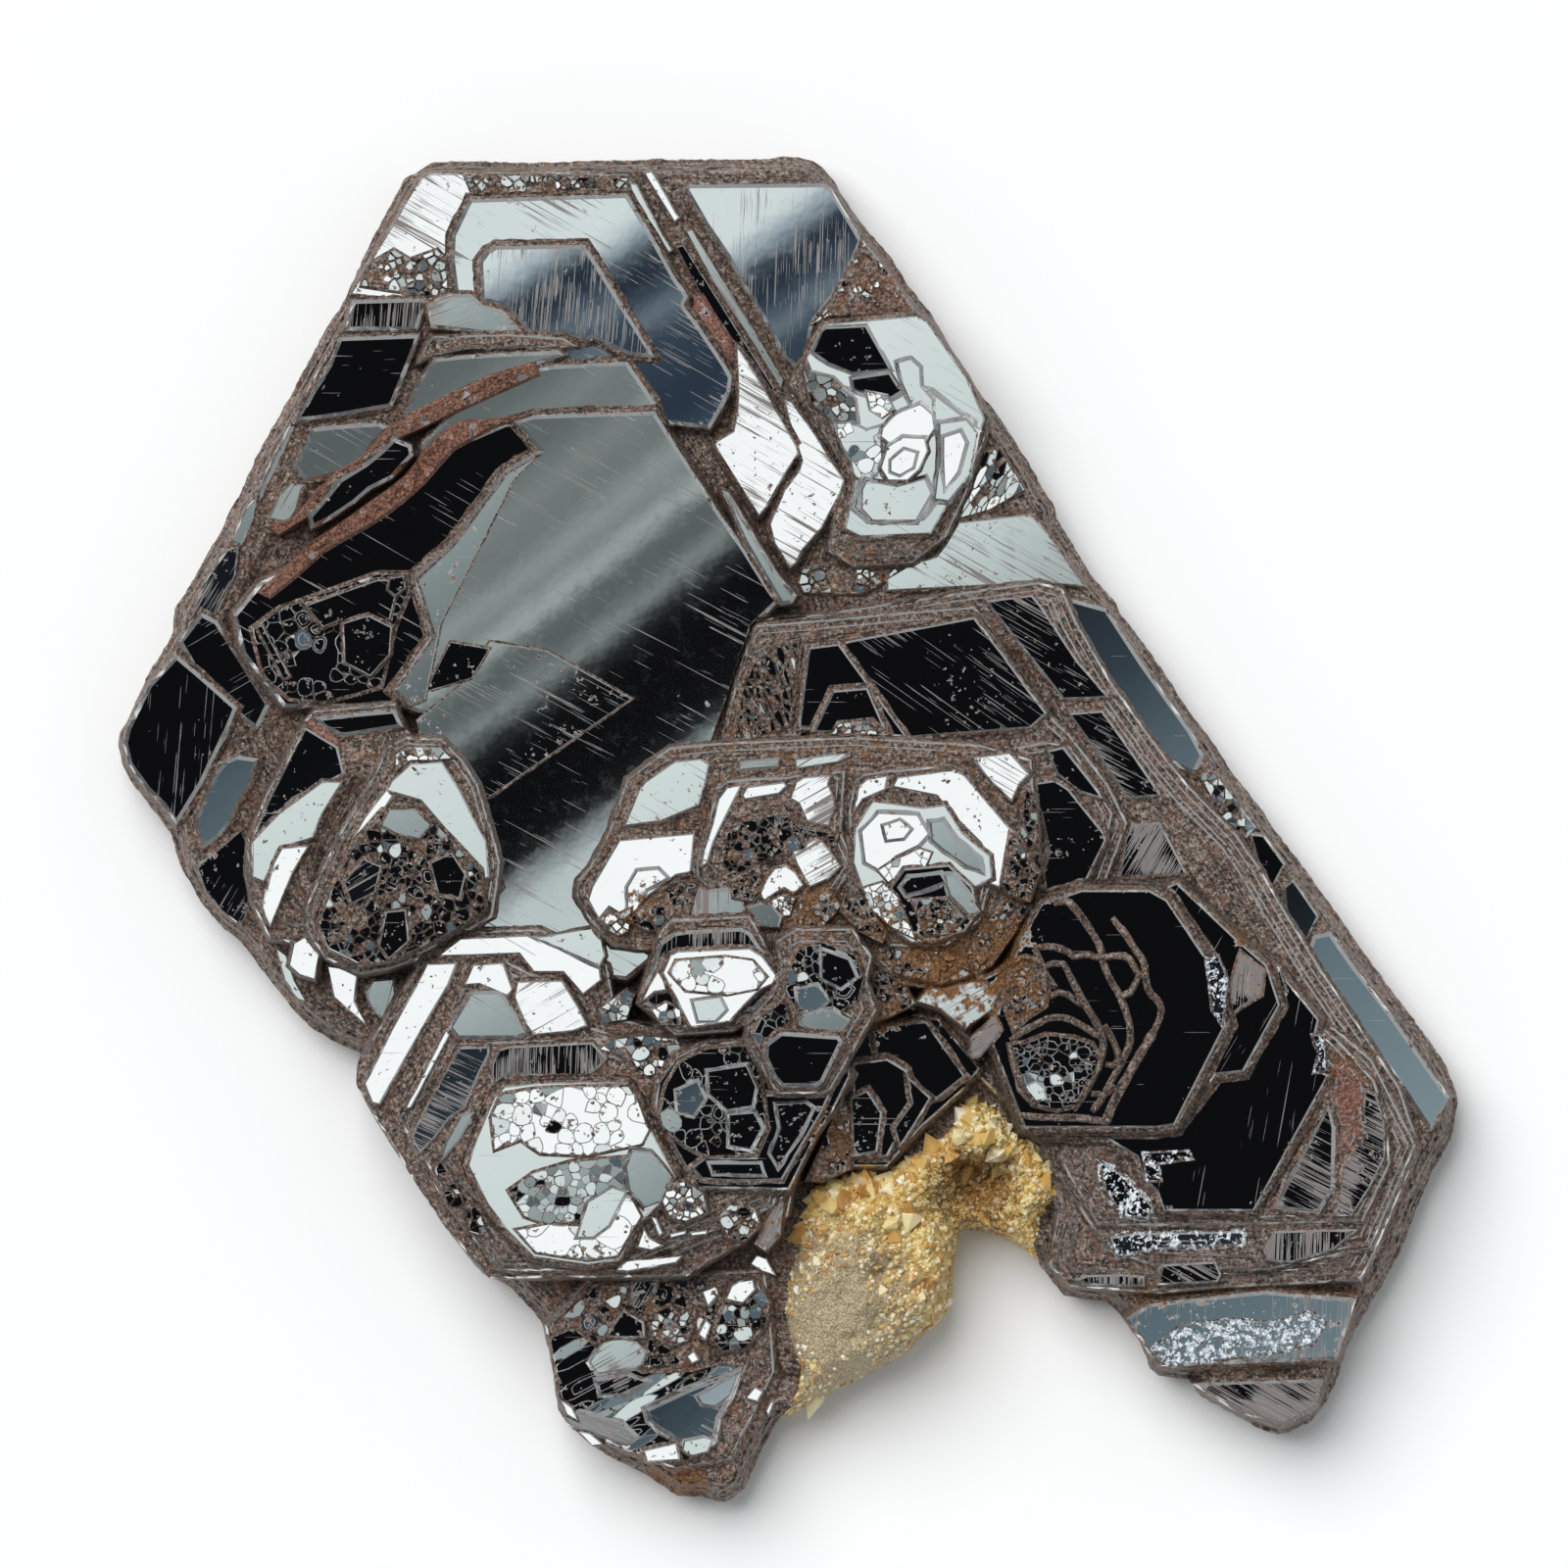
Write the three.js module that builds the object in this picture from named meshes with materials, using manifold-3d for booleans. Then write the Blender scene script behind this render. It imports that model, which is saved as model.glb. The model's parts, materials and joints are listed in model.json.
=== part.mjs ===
// Hematite: a group of tabular crystals grown together as stacked, bevelled
// plates, with a lump of pale matrix at its lower edge.
// Millimetres, +Z up. The group lies flat on z = 0 with its plates facing up,
// and the origin is the middle of its box on the resting plane.
import * as THREE from "three";
import { mergeVertices } from "three/addons/utils/BufferGeometryUtils.js";
import Module from "manifold-3d";

// Driving dimensions (mm)
const BASE_TOP = 3.4; // top of the broad lower plate
const BASE_BEVEL_HEIGHT = 1.5; // height of its upper and lower edge faces
const BASE_BEVEL_WIDTH = 0.8; // how far those edge faces lean in
const ROOT = 1.2; // depth at which every upper plate is rooted in the lower one
const BEVEL_SLOPE = 1.4; // rise of a plate's edge face for each mm that it leans in
const MATRIX_TOP = 4.2; // top of the matrix skirt
const MATRIX_BEVEL = 0.7; // rounding of the matrix edge
const GAP = 0.3; // clearance between the plates and the matrix
const MERGE = 0.01; // finest edge that is kept where plates run into each other

// Outline of the broad lower plate, clockwise from the left corner
const BASE_OUTLINE = [[-27.4, 3.52], [-26.96, 4.52], [-26.16, 6.32], [-25.16, 8.04], [-25.08, 9], [-24.2, 10.44], [-23.12, 12.32], [-22.04, 14.52], [-20.88, 16.76], [-18.96, 20.32], [-17.28, 23.56], [-16.16, 25.72], [-15.68, 26.6], [-14.56, 27.24], [-6.56, 27.36], [0.44, 27.48], [1.44, 27.04], [2.64, 25.24], [4.24, 23.36], [5.52, 21.48], [7.84, 17.84], [10.04, 14.64], [10.96, 12.68], [13.12, 9.56], [16.08, 5.28], [19.32, 0.84], [22.08, -2.92], [24.76, -6.76], [26.92, -9.68], [27.4, -11.2], [27.12, -12.72], [25.72, -15.48], [24.2, -18.84], [22.8, -21.32], [21.92, -23.6], [20.52, -24.68], [19.28, -24.52], [16.84, -23.12], [15.16, -22.36], [14.4, -21], [13.04, -19.32], [11.32, -19.08], [10.28, -17.8], [11.44, -15.76], [11.64, -13.96], [9.84, -12.16], [8.04, -10.76], [6.24, -11.76], [3.84, -13.56], [1.84, -13.56], [0.44, -14.76], [-0.36, -18.16], [-0.96, -20.16], [-0.56, -22.16], [-0.16, -23.76], [-1.16, -25.6], [-1.76, -26.96], [-2.56, -27.52], [-4.52, -27.2], [-6.52, -26.04], [-8.8, -24.52], [-9.52, -22.96], [-10.04, -20.24], [-11.88, -18.4], [-13.72, -16.56], [-15.36, -14.16], [-16.68, -12.16], [-17.6, -10.36], [-17.52, -9.2], [-19.56, -8.08], [-21.52, -5.76], [-24, -3], [-25, -1.04], [-26.16, 1.04], [-27.24, 2.72]];

// Plates that stand on it: top height, lean of the edge faces, outline
const PLATES = [
  { top: 4.2, bevel: 0.35, outline: [[-20.16, 16.24], [-18.08, 20.44], [-17.68, 21.68], [-14.56, 21.84], [-13.68, 24.24], [-12.96, 25.72], [-6.56, 25.92], [-4.16, 21.84], [-2.28, 18.44], [-3.12, 16.4], [0.32, 9.6], [-1.28, 8.24], [-2.36, 5.04], [-4.56, 1.84], [-8.16, -4.56], [-15.36, -6.16], [-21.36, -4.56], [-22.16, -1.36], [-20.16, 3.84], [-23.16, 8.24]] }, // rim terrace, upper left
  { top: 4.9, bevel: 0.35, outline: [[-19.44, 16.36], [-14.56, 19.44], [-12.56, 23.2], [-11.96, 23.8], [-8.28, 23.84], [-5.6, 19.24], [0.08, 9.28], [-1.28, 8.24], [-2.36, 5.04], [-4.56, 1.84], [-8.16, -4.56], [-14.56, -5.36], [-19.36, -4.56], [-20.56, -1.36], [-19.36, 4.24], [-21.68, 9.84]] }, // second terrace
  { top: 5.5, bevel: 0.35, outline: [[-20.16, 10.64], [-14.96, 15.76], [-11.16, 16.64], [-8.16, 17.04], [-5.44, 17.04], [-0.44, 9.36], [-1.56, 8.24], [-3.08, 3.36], [-6.56, -2.16], [-11.96, -2.76], [-13.36, 4.24], [-20.16, 5.84]] }, // central mirror face
  { top: 4, bevel: 0.25, outline: [[-4.24, 26.16], [1.44, 26.36], [3.04, 24.04], [5.24, 21.12], [1.04, 20.04], [0.44, 18.72], [-2.48, 23.36]] }, // upper right face
  { top: 4.8, bevel: 0.35, outline: [[0.44, 18.44], [1.52, 20.56], [5.24, 20.92], [8.04, 16.64], [7.24, 13.84], [6.44, 12.04], [5.04, 10.96], [1.84, 11.44], [2.44, 14.24]] }, // upper right rosette plate
  { top: 5.2, bevel: 0.2, outline: [[2.56, 18.04], [4.24, 18.64], [5.84, 17.44], [6.44, 15.44], [5.04, 13.64], [3.04, 13.44], [2.24, 15.84]] }, // upper right rosette cap
  { top: 4.3, bevel: 0.25, outline: [[-2.08, 19.72], [-0.16, 17.52], [2.32, 14.24], [0.32, 10.72], [-1.2, 12.76], [-3.04, 15.76], [-2.04, 17.84]] }, // twin blades
  { top: 3.9, bevel: 0.2, outline: [[6.96, 12.52], [9.84, 12.8], [11.84, 10], [4.04, 9.72], [4.04, 10.24], [6.24, 11.44]] }, // right shoulder face
  { top: 4.5, bevel: 0.4, outline: [[-1.44, 8.24], [1.04, 8.56], [7.84, 9.64], [10.24, 9.96], [11.84, 8.24], [17.84, 0.24], [19.84, -2.16], [23.84, -7.76], [25.04, -10.56], [25.44, -12.96], [23.44, -16.96], [15.04, -18.56], [11.64, -18.16], [10.24, -13.36], [3.84, -6.16], [-3.4, 3.2]] }, // right stack, outer ring
  { top: 5.3, bevel: 0.4, outline: [[-1.36, 7.84], [7.6, 8.96], [9.84, 5.84], [13.84, 0.64], [17.84, -4.56], [21.64, -7.76], [22.04, -10.04], [19, -15.56], [15.32, -15.56], [11.84, -12.16], [5.84, -2.16], [-2.56, 3.44]] }, // right stack, black face
  { top: 5.9, bevel: 0.3, outline: [[7.84, 3.36], [10.56, 3.64], [11.84, 2.64], [13.24, 0.44], [11.84, -3.16], [7.84, -4.56]] }, // right stack, upper shoulder
  { top: 6.2, bevel: 0.35, outline: [[11.96, -2.48], [14.64, -2.48], [17.24, -5.56], [17.84, -7.96], [15.76, -12.04], [9.64, -12.08], [8.32, -8.56], [9.44, -4.56]] }, // right stack, black hexagon
  { top: 6.9, bevel: 0.3, outline: [[9.44, -6.16], [13.24, -5.56], [15.12, -7.56], [13.04, -11.68], [10.16, -11.68], [8.72, -8.96]] }, // right rosette
  { top: 6.1, bevel: 0.35, outline: [[-3.16, 3.12], [-4.64, 3.04], [-6.24, 1.96], [-8.28, -2.36], [-7.68, -3.96], [-4.16, -2.36], [-3.28, -0.16]] }, // centre left crystal
  { top: 6.6, bevel: 0.3, outline: [[-2.76, 2.44], [2.64, 3.12], [2.48, -0.56], [1.92, -2.48], [-0.76, -3.76], [-3.56, -2.16]] }, // centre rosette
  { top: 7.1, bevel: 0.35, outline: [[2.68, 2.12], [6.68, 2.56], [9.68, -0.8], [8.52, -2.36], [6.44, -4.64], [4.24, -4.64], [2.48, -1.36]] }, // centre right crystal
  { top: 7.4, bevel: 0.35, outline: [[-6.16, -7.04], [-5.12, -4.24], [-4.68, -3.76], [-1.6, -3.68], [-0.16, -6.16], [-2.16, -8.08], [-4.56, -8.16]] }, // white crystal
  { top: 7.9, bevel: 0.35, outline: [[-0.24, -4.36], [2.56, -4.36], [3.44, -7.36], [1.52, -10.56], [-0.36, -10.56], [-1.68, -8.36], [-0.76, -6.16]] }, // dark crystal
  { top: 7.2, bevel: 0.35, outline: [[-4.96, -10.36], [-3.36, -9.44], [-1.36, -9.16], [0.16, -10.56], [0.4, -11.68], [-0.8, -14.56], [-3.68, -14.4], [-5.16, -12.16]] }, // dark rosette
  { top: 4.6, bevel: 0.35, outline: [[-17.28, -10.36], [-14.72, -5.16], [-9.76, -4.24], [-7.52, -5.56], [-4.16, -8.16], [1.04, -10.96], [-0.16, -16.16], [-4.56, -18], [-12.16, -17.84], [-15.76, -12.16]] }, // left foot terrace
  { top: 5.3, bevel: 0.3, outline: [[-15.36, -12.56], [-13.36, -8.68], [-7.96, -8.48], [-4.56, -8.56], [-0.16, -10.56], [-0.76, -14.76], [-4.56, -17.56], [-12.16, -17.68], [-14.16, -14.76]] }, // left foot second terrace
  { top: 6.4, bevel: 0.35, outline: [[-13.04, -13.56], [-11.68, -10.56], [-6.56, -10.4], [-4.72, -14.16], [-7.04, -17.52], [-10.56, -17.44], [-12.28, -15.12]] }, // left foot rosette
  { top: 5.2, bevel: 0.35, outline: [[-19.56, 4.72], [-16, 5.04], [-12.16, -0.16], [-11.84, -2.36], [-14.56, -5.16], [-21.16, -4.24], [-21.96, -1.76], [-21.76, -0.16]] }, // left wing terrace
  { top: 6.6, bevel: 0.35, outline: [[-16.16, 3.36], [-14.08, 3.56], [-12.16, -0.16], [-11.96, -2.36], [-14.56, -4.96], [-17.16, -5.76], [-19.28, -4.16], [-18.36, -0.56]] }, // left wing rosette
  { top: 3.7, bevel: 0.12, outline: [[21.44, -4.56], [22.16, -4.2], [24.64, -7.56], [26.96, -10.88], [26.16, -12.24], [23.04, -7.76]] }, // outer strip
  { top: 3.9, bevel: 0.2, outline: [[15.04, -19.56], [19.44, -18.88], [23.04, -19.16], [22.32, -21.56], [15.24, -21.84]] }, // lower right ledge
  { top: 4.3, bevel: 0.35, outline: [[-9.44, -20.76], [-8.16, -18.56], [-1.36, -18.16], [-1.16, -21.96], [-2.36, -25.56], [-5.76, -25.76], [-8.76, -23.76]] }, // lower left lobe
];

// Outline of the matrix and of the lumps that rise from it
const MATRIX_OUTLINE = [[-0.4, -24], [0.08, -22.16], [-0.32, -20.96], [-0.48, -19.36], [0.08, -17.76], [0.64, -15.76], [0.96, -14.76], [1.84, -13.96], [4.04, -14.08], [5.24, -13.04], [6.24, -12.24], [7.44, -11.28], [8.84, -11.56], [9.64, -12.56], [11.04, -13.56], [11.68, -15.04], [10.96, -15.76], [10.8, -16.76], [10.28, -17.56], [9.64, -17.04], [8.12, -16.48], [7.12, -16.4], [6.8, -17.76], [6.72, -19.56], [5.36, -20.84], [3.84, -22.04], [2.08, -23]];
const MATRIX_LUMPS = [
  { top: 5.6, outline: [[1.24, -15.16], [4.04, -14.76], [6.24, -12.96], [7.84, -11.96], [9.84, -13.36], [10.64, -14.76], [9.44, -15.76], [7.24, -15.76], [5.84, -18.16], [3.84, -18.16], [1.04, -18.16]] }, // crest
  { top: 4.9, outline: [[0.44, -16.56], [5.44, -15.76], [6.16, -18.16], [5.84, -19.76], [3.84, -21.16], [1.04, -22.56], [0.16, -21.76], [0.24, -19.36]] }, // shoulder
];

const wasm = await Module();
wasm.setup();

function shapeOf(outline) {
  return new THREE.Shape(outline.map(([x, y]) => new THREE.Vector2(x, y)));
}

// A flat prism from z0 to z1 whose rims lean in by `lean` over `rise`
function plateGeometry(outline, z0, z1, lean, rise, grow = 0) {
  const geometry = new THREE.ExtrudeGeometry(shapeOf(outline), {
    depth: z1 - z0 - 2 * rise,
    steps: 1,
    bevelEnabled: true,
    bevelSegments: 1,
    bevelThickness: rise,
    bevelSize: lean,
    bevelOffset: grow - lean,
  });
  geometry.translate(0, 0, z0 + rise);
  return geometry;
}

function solidOf(geometry) {
  const bare = geometry.clone();
  bare.deleteAttribute("normal");
  bare.deleteAttribute("uv");
  const merged = mergeVertices(bare, 1e-4);
  return new wasm.Manifold(
    new wasm.Mesh({
      numProp: 3,
      vertProperties: new Float32Array(merged.attributes.position.array),
      triVerts: new Uint32Array(merged.index.array),
    }),
  );
}

function geometryOf(solid) {
  const mesh = solid.getMesh();
  const geometry = new THREE.BufferGeometry();
  geometry.setAttribute(
    "position",
    new THREE.BufferAttribute(new Float32Array(mesh.vertProperties), 3),
  );
  geometry.setIndex(new THREE.BufferAttribute(new Uint32Array(mesh.triVerts), 1));
  geometry.computeVertexNormals();
  return geometry;
}

// Matrix: a skirt with two rounded lumps on it
let matrixSolid = solidOf(
  plateGeometry(MATRIX_OUTLINE, 0, MATRIX_TOP, MATRIX_BEVEL * 0.6, MATRIX_BEVEL),
);
for (const { top, outline } of MATRIX_LUMPS) {
  matrixSolid = matrixSolid.add(
    solidOf(plateGeometry(outline, ROOT, top, MATRIX_BEVEL, MATRIX_BEVEL)),
  );
}

// Hematite: every plate rooted in the lower one, joined in one body
let hematiteSolid = solidOf(
  plateGeometry(BASE_OUTLINE, 0, BASE_TOP, BASE_BEVEL_WIDTH, BASE_BEVEL_HEIGHT),
);
PLATES.forEach(({ top, bevel, outline }, i) => {
  hematiteSolid = hematiteSolid.add(
    solidOf(plateGeometry(outline, ROOT - 0.03 * i, top, bevel, bevel * BEVEL_SLOPE)),
  );
});

// The plates stop short of the matrix all round
hematiteSolid = hematiteSolid.subtract(
  solidOf(plateGeometry(MATRIX_OUTLINE, -3, 14, GAP, 1, GAP)),
);
hematiteSolid = hematiteSolid.setTolerance(MERGE).simplify(MERGE);
const bodies = hematiteSolid.decompose();
bodies.sort((a, b) => b.volume() - a.volume());
hematiteSolid = bodies[0];

const hematite = new THREE.Mesh(
  geometryOf(hematiteSolid),
  new THREE.MeshStandardMaterial({ color: 0x2b2a2c, roughness: 0.12, metalness: 0.9 }),
);
hematite.name = "hematite_plates";

const matrix = new THREE.Mesh(
  geometryOf(matrixSolid),
  new THREE.MeshStandardMaterial({ color: 0xc9a865, roughness: 0.75, metalness: 0 }),
);
matrix.name = "matrix";

const group = new THREE.Group();
group.name = "hematite_crystal_group";
group.add(hematite, matrix);

export default group;
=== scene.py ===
import bpy
import json
import math
import random
import numpy as np
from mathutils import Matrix, Quaternion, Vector
from mathutils.geometry import delaunay_2d_cdt

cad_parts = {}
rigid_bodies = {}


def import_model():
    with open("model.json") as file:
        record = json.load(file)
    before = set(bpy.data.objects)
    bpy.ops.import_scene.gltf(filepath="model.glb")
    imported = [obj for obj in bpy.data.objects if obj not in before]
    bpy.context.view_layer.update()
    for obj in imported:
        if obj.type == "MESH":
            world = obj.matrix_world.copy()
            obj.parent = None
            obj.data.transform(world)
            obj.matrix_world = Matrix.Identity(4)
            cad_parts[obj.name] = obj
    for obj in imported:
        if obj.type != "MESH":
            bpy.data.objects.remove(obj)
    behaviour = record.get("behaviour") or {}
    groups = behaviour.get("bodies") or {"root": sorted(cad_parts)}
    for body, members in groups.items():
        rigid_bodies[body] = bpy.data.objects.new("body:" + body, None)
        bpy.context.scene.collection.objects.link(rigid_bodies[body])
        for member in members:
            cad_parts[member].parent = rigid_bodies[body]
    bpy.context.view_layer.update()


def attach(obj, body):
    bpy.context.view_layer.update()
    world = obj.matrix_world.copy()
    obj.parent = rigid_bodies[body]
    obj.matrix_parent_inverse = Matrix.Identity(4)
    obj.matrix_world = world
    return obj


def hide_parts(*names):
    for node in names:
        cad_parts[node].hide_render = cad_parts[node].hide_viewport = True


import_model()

# ---------------------------------------------------------------- units
# Outlines are in drawing units of 0.04 mm, x to the right and y down, with
# the middle of the group at (804, 846). Heights are in millimetres.
U = 0.04
CX, CY = 804.0, 846.0
EYE = 1.0            # metres from the faces to the camera
EYE_C = (800.0, 800.0)
DIR = np.array([0.59, 0.81])   # across the stripes that the faces mirror


def P(s):
    return np.array([[float(v) for v in q.split(",")] for q in s.split()], float)


# ---------------------------------------------------------------- outline
# Edge of the hematite, from the left corner over the top to the matrix
EDGE = P("119,758 121,747 130,733 139,712 150,688 164,666 175,645 177,621 188,605 199,585 210,565 226,538 232,523 "
         "242,507 253,483 266,454 282,427 297,400 330,338 352,303 372,257 385,232 400,203 412,181 430,171 440,165 "
         "470,163 540,165 640,162 740,161 780,161 800,158 815,159 830,163 840,170 850,182 870,215 885,234 910,262 "
         "925,288 942,309 950,318 965,346 985,376 1000,400 1015,418 1032,443 1055,480 1065,499 1076,516 1078,529 "
         "1090,547 1103,568 1116,589 1132,607 1140,616 1143,625 1156,641 1174,665 1188,685 1206,714 1223,737 1242,762 "
         "1256,785 1272,805 1287,825 1301,847 1321,872 1336,892 1356,919 1374,945 1394,974 1408,992 1423,1015 1441,1037 "
         "1459,1061 1477,1088 1487,1114 1489,1126 1482,1164 1463,1195 1447,1233 1432,1275 1409,1317 1390,1348 1374,1379 "
         "1367,1405 1352,1436 1340,1451 1317,1463 1306,1465 1286,1459 1260,1444 1237,1432 1225,1424 1214,1409 1183,1405 "
         "1175,1398 1164,1371 1145,1344 1130,1329 1107,1327 1087,1323 1076,1310 1061,1291")
# Hidden edge under the matrix
SEAM = P("1052,1262 1066,1240 1078,1215 1060,1185 1030,1165 1005,1140 975,1155 945,1180 915,1205 860,1212 838,1232 "
         "826,1270 812,1310 806,1350 816,1395 812,1430")
EDGE2 = P("794,1451 787,1463 775,1486 760,1520 745,1532 733,1534 714,1528 691,1528 680,1520 664,1509 641,1497 618,1486 "
          "603,1474 584,1459 569,1440 565,1409 561,1382 553,1352 542,1337 523,1317 507,1306 492,1300 477,1283 461,1260 "
          "450,1245 437,1225 420,1200 400,1170 387,1150 375,1128 364,1105 364,1090 368,1076 360,1072 340,1063 315,1048 "
          "300,1033 289,1019 277,1004 266,990 253,972 242,959 228,948 215,934 204,921 197,908 186,890 179,872 174,852 "
          "164,838 150,820 134,800 123,778")

# ---------------------------------------------------------------- plates
# Painted from the lowest to the highest. kind: face (mirror), wall (rough
# brown), rubble (crushed), cells (rosette of small platelets).
# t is the place in the mirrored stripes, in milliradians: it sets the tilt.
W, PA, G, K, B, L, S = -56, -40, -30, 30, 55, 66, -16
PLATES = []


def plate(name, s, t=K, step=0.16, w=7.0, kind="face", **o):
    d = dict(name=name, pts=P(s), t=t, step=step, w=w, kind=kind)
    d.update(o)
    PLATES.append(d)


# --- upper left, outer terraces
plate("T1", "357,300 365,287 395,238 425,187 436,177 552,176 640,178 655,200 640,320 470,312", W, hatch=(-30, .55), rust=.35)
plate("T1c", "474,179 560,179 640,181 650,196 600,197 540,196 482,198", PA, .04, 2, kind="rubble", flat=1, cell=8, mixed=.35, vary=9, gap=1.2, sparse=.5, rust=.35, red=.6)
plate("T1d", "374,270 402,254 418,264 446,254 460,268 468,302 436,302 400,297 368,292", PA, .04, 2, kind="rubble", flat=1, cell=9, mixed=.3, vary=9, gap=1.2, sparse=.4, rust=.35, red=.5)
plate("F1", "262,500 297,429 312,400 345,340 352,338 330,385 300,436 275,490 258,525", K, .1, 4, hatch=(60, .4))
plate("F2", "236,552 250,520 262,505 258,530 246,556", -27, .1, 3, rim=1.4)
plate("F3", "192,640 206,598 230,562 243,557 240,586 226,616 206,648", 48, .1, 3, hatch=(60, .5), rim=1.4)
plate("K0", "182,655 205,625 222,634 275,719 262,745 240,728 205,695", K, .1, 5, hatch=(30, .25))
plate("K1", "180,668 152,698 130,742 126,758 131,780 150,806 166,822 180,842 206,800 234,742 242,722 206,690", K, .15, 6, hatch=(85, .26))
plate("K2", "199,836 208,816 219,789 230,776 242,771 264,774 255,803 244,820 237,838 224,854 206,867", 58, .15, 6)
plate("K2b", "200,884 226,864 246,846 256,872 258,915 246,945 226,930 210,910", 44, .08, 3, hatch=(60, .3), rust=.4, rim=1.2)
plate("K2d", "282,968 292,975 300,1000 312,1022 304,1020 290,1000", PA, .06, 2.5, rim=1.0)
plate("P1", "657,176 665,174 672,185 690,217 694,222 688,227 660,182", W, .12, 3)
plate("P2", "642,186 650,188 672,232 686,255 682,258 645,200", PA, .12, 3)
plate("U1", "698,192 702,188 840,187 848,192 868,225 880,245 872,265 860,290 830,330 822,372 815,378 800,365 775,320 742,262 720,230", -82, .18, 6, hatch=(88, .36), at=(776, 258))
plate("U1r", "880,245 900,268 920,298 935,318 850,322 830,330 850,305 872,265", PA, .05, 3, kind="rubble", flat=1, cell=7, mixed=.4, vary=9, gap=1.2, sparse=.6, rust=.45, red=.6)
plate("P3", "700,236 706,234 735,282 770,338 799,388 797,396 765,345 728,288", G, .14, 2.5, hatch=(-55, .5), rim=1.0)
plate("P3b", "690,252 697,250 724,292 758,346 790,396 786,401 750,350 714,298", K, .06, 2, rim=.8)
plate("P3c", "806,402 812,400 842,446 868,486 864,492 836,452", G, .1, 2, rim=.8)
plate("U3", "978,533 1045,525 1054,527 1070,545 1106,598 1060,595 905,603 905,590 930,575 955,568 965,555", -33, .2, 5, hatch=(-30, .5), rust=.15, at=(1070, 575))
plate("U3s", "1005,460 1020,458 1045,500 1010,520 975,530 990,505", PA, .15, 4, kind="rubble", flat=1, cell=9, mixed=.4, vary=9, gap=.7, sparse=.15, stretch=(-60, 1.6))
plate("U4", "868,583 880,574 905,578 930,574 905,592 880,606 820,605 812,590 825,572", G, .1, 3, kind="rubble", flat=1, cell=8, mixed=.5, vary=9, gap=1.2, sparse=.4, rust=.4)
plate("X1", "1089,610 1130,621 1165,675 1215,745 1229,771 1219,790 1185,775 1128,700 1100,650", 56, .15, 4)
plate("X1s", "1222,788 1240,790 1282,845 1272,856 1250,838", 60, .08, 3, kind="rubble", flat=1, cell=7, mixed=.5, vary=9, gap=.7, sparse=.25)
plate("X2", "1275,850 1290,852 1312,882 1296,910 1285,885", K, .12, 3)
plate("X3", "1310,905 1320,897 1346,935 1331,965 1312,930", 50, .12, 3)
plate("X4", "1340,955 1358,951 1380,983 1420,1035 1455,1085 1480,1120 1460,1155 1420,1095 1380,1040 1333,975", L, .18, 5)

# --- upper right rosette plate
plate("R1a", "806,392 826,355 837,332 842,329 935,320 948,328 962,350 988,385 1008,425 1005,445 985,505 965,548 930,575 870,578 845,562 852,520 866,492 858,470 830,425", W, .35, 4.2, kind="wall")
plate("R1b", "822,366 838,334 842,331 935,322 946,328 986,385 1005,428 980,492 950,545 878,548 862,540 872,490 845,420", PA, .25, 6, hatch=(-30, .2))
plate("R1k", "828,360 838,337 842,334 884,332 910,378 870,382 845,372", K, .06, 2, bare=1)
plate("R1s", "868,386 908,380 928,412 910,417 870,398", K, .06, 2, bare=1)
plate("R1c", "848,396 868,400 905,412 935,395 950,400 992,432 972,490 940,527 886,530 872,518 880,490 866,455 850,430", PA, .12, 5, bare=1)
plate("R1d", "852,428 868,432 884,440 898,436 900,478 884,492 872,486 868,470 856,450", PA, .05, 3, kind="rubble", flat=1, ground=1, cell=12, mixed=0.2, vary=8, sparse=0.35, bare=1)
plate("R1e", "819,378 850,386 872,408 875,430 850,430 828,412", G, .06, 3, kind="rubble", flat=1, cell=9, mixed=.45, vary=9, gap=.8, sparse=.2, bare=1)
plate("R1f", "958,432 986,428 998,442 990,485 968,512 953,510 958,471", PA, .10, 4, bare=1)
plate("R1g", "962,446 980,440 986,452 978,482 964,500 962,474", W, .08, 3, bare=1)
plate("R1h", "915,370 929,366 939,375 940,394 952,408 952,424 929,412 921,394", PA, .10, 3, bare=1)
plate("R1i", "879,500 884,490 915,496 944,488 951,504 935,532 890,532 879,520", PA, .10, 4, bare=1)
plate("R1j", "900,437 914,422 939,412 952,423 954,438 944,452 908,454 898,446", W, .14, 3, bare=1)
plate("R1l", "905,456 921,446 944,447 947,461 938,480 926,491 906,491 898,478", W, .10, 3, bare=1)
plate("R1m", "908,470 922,458 936,462 932,478 918,486 908,482", W, .06, 2, bare=1)
plate("R1n", "884,400 905,404 912,418 900,426 888,418", W, .05, 2, kind="rubble", flat=1, ground=1, cell=8, mixed=.2, vary=8, gap=.6, sparse=.3, bare=1)

# --- blades between the two big crystals
plate("T5", "800,408 808,410 830,440 855,480 862,490 857,505 838,540 820,560 812,575 806,580 790,555 785,535 800,500 815,480 818,470 805,430", W, .2, 6, hatch=(-30, .5))
plate("T4", "752,353 765,372 783,402 800,432 813,455 815,463 805,478 795,495 782,518 774,527 752,492 733,462 728,452 748,440 752,420 753,400", W, .2, 6, hatch=(-30, .6))
plate("T3r", "708,303 716,302 730,325 745,348 746,375 730,355 708,318", K, .08, 3, rust=1.2, red=1)

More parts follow.
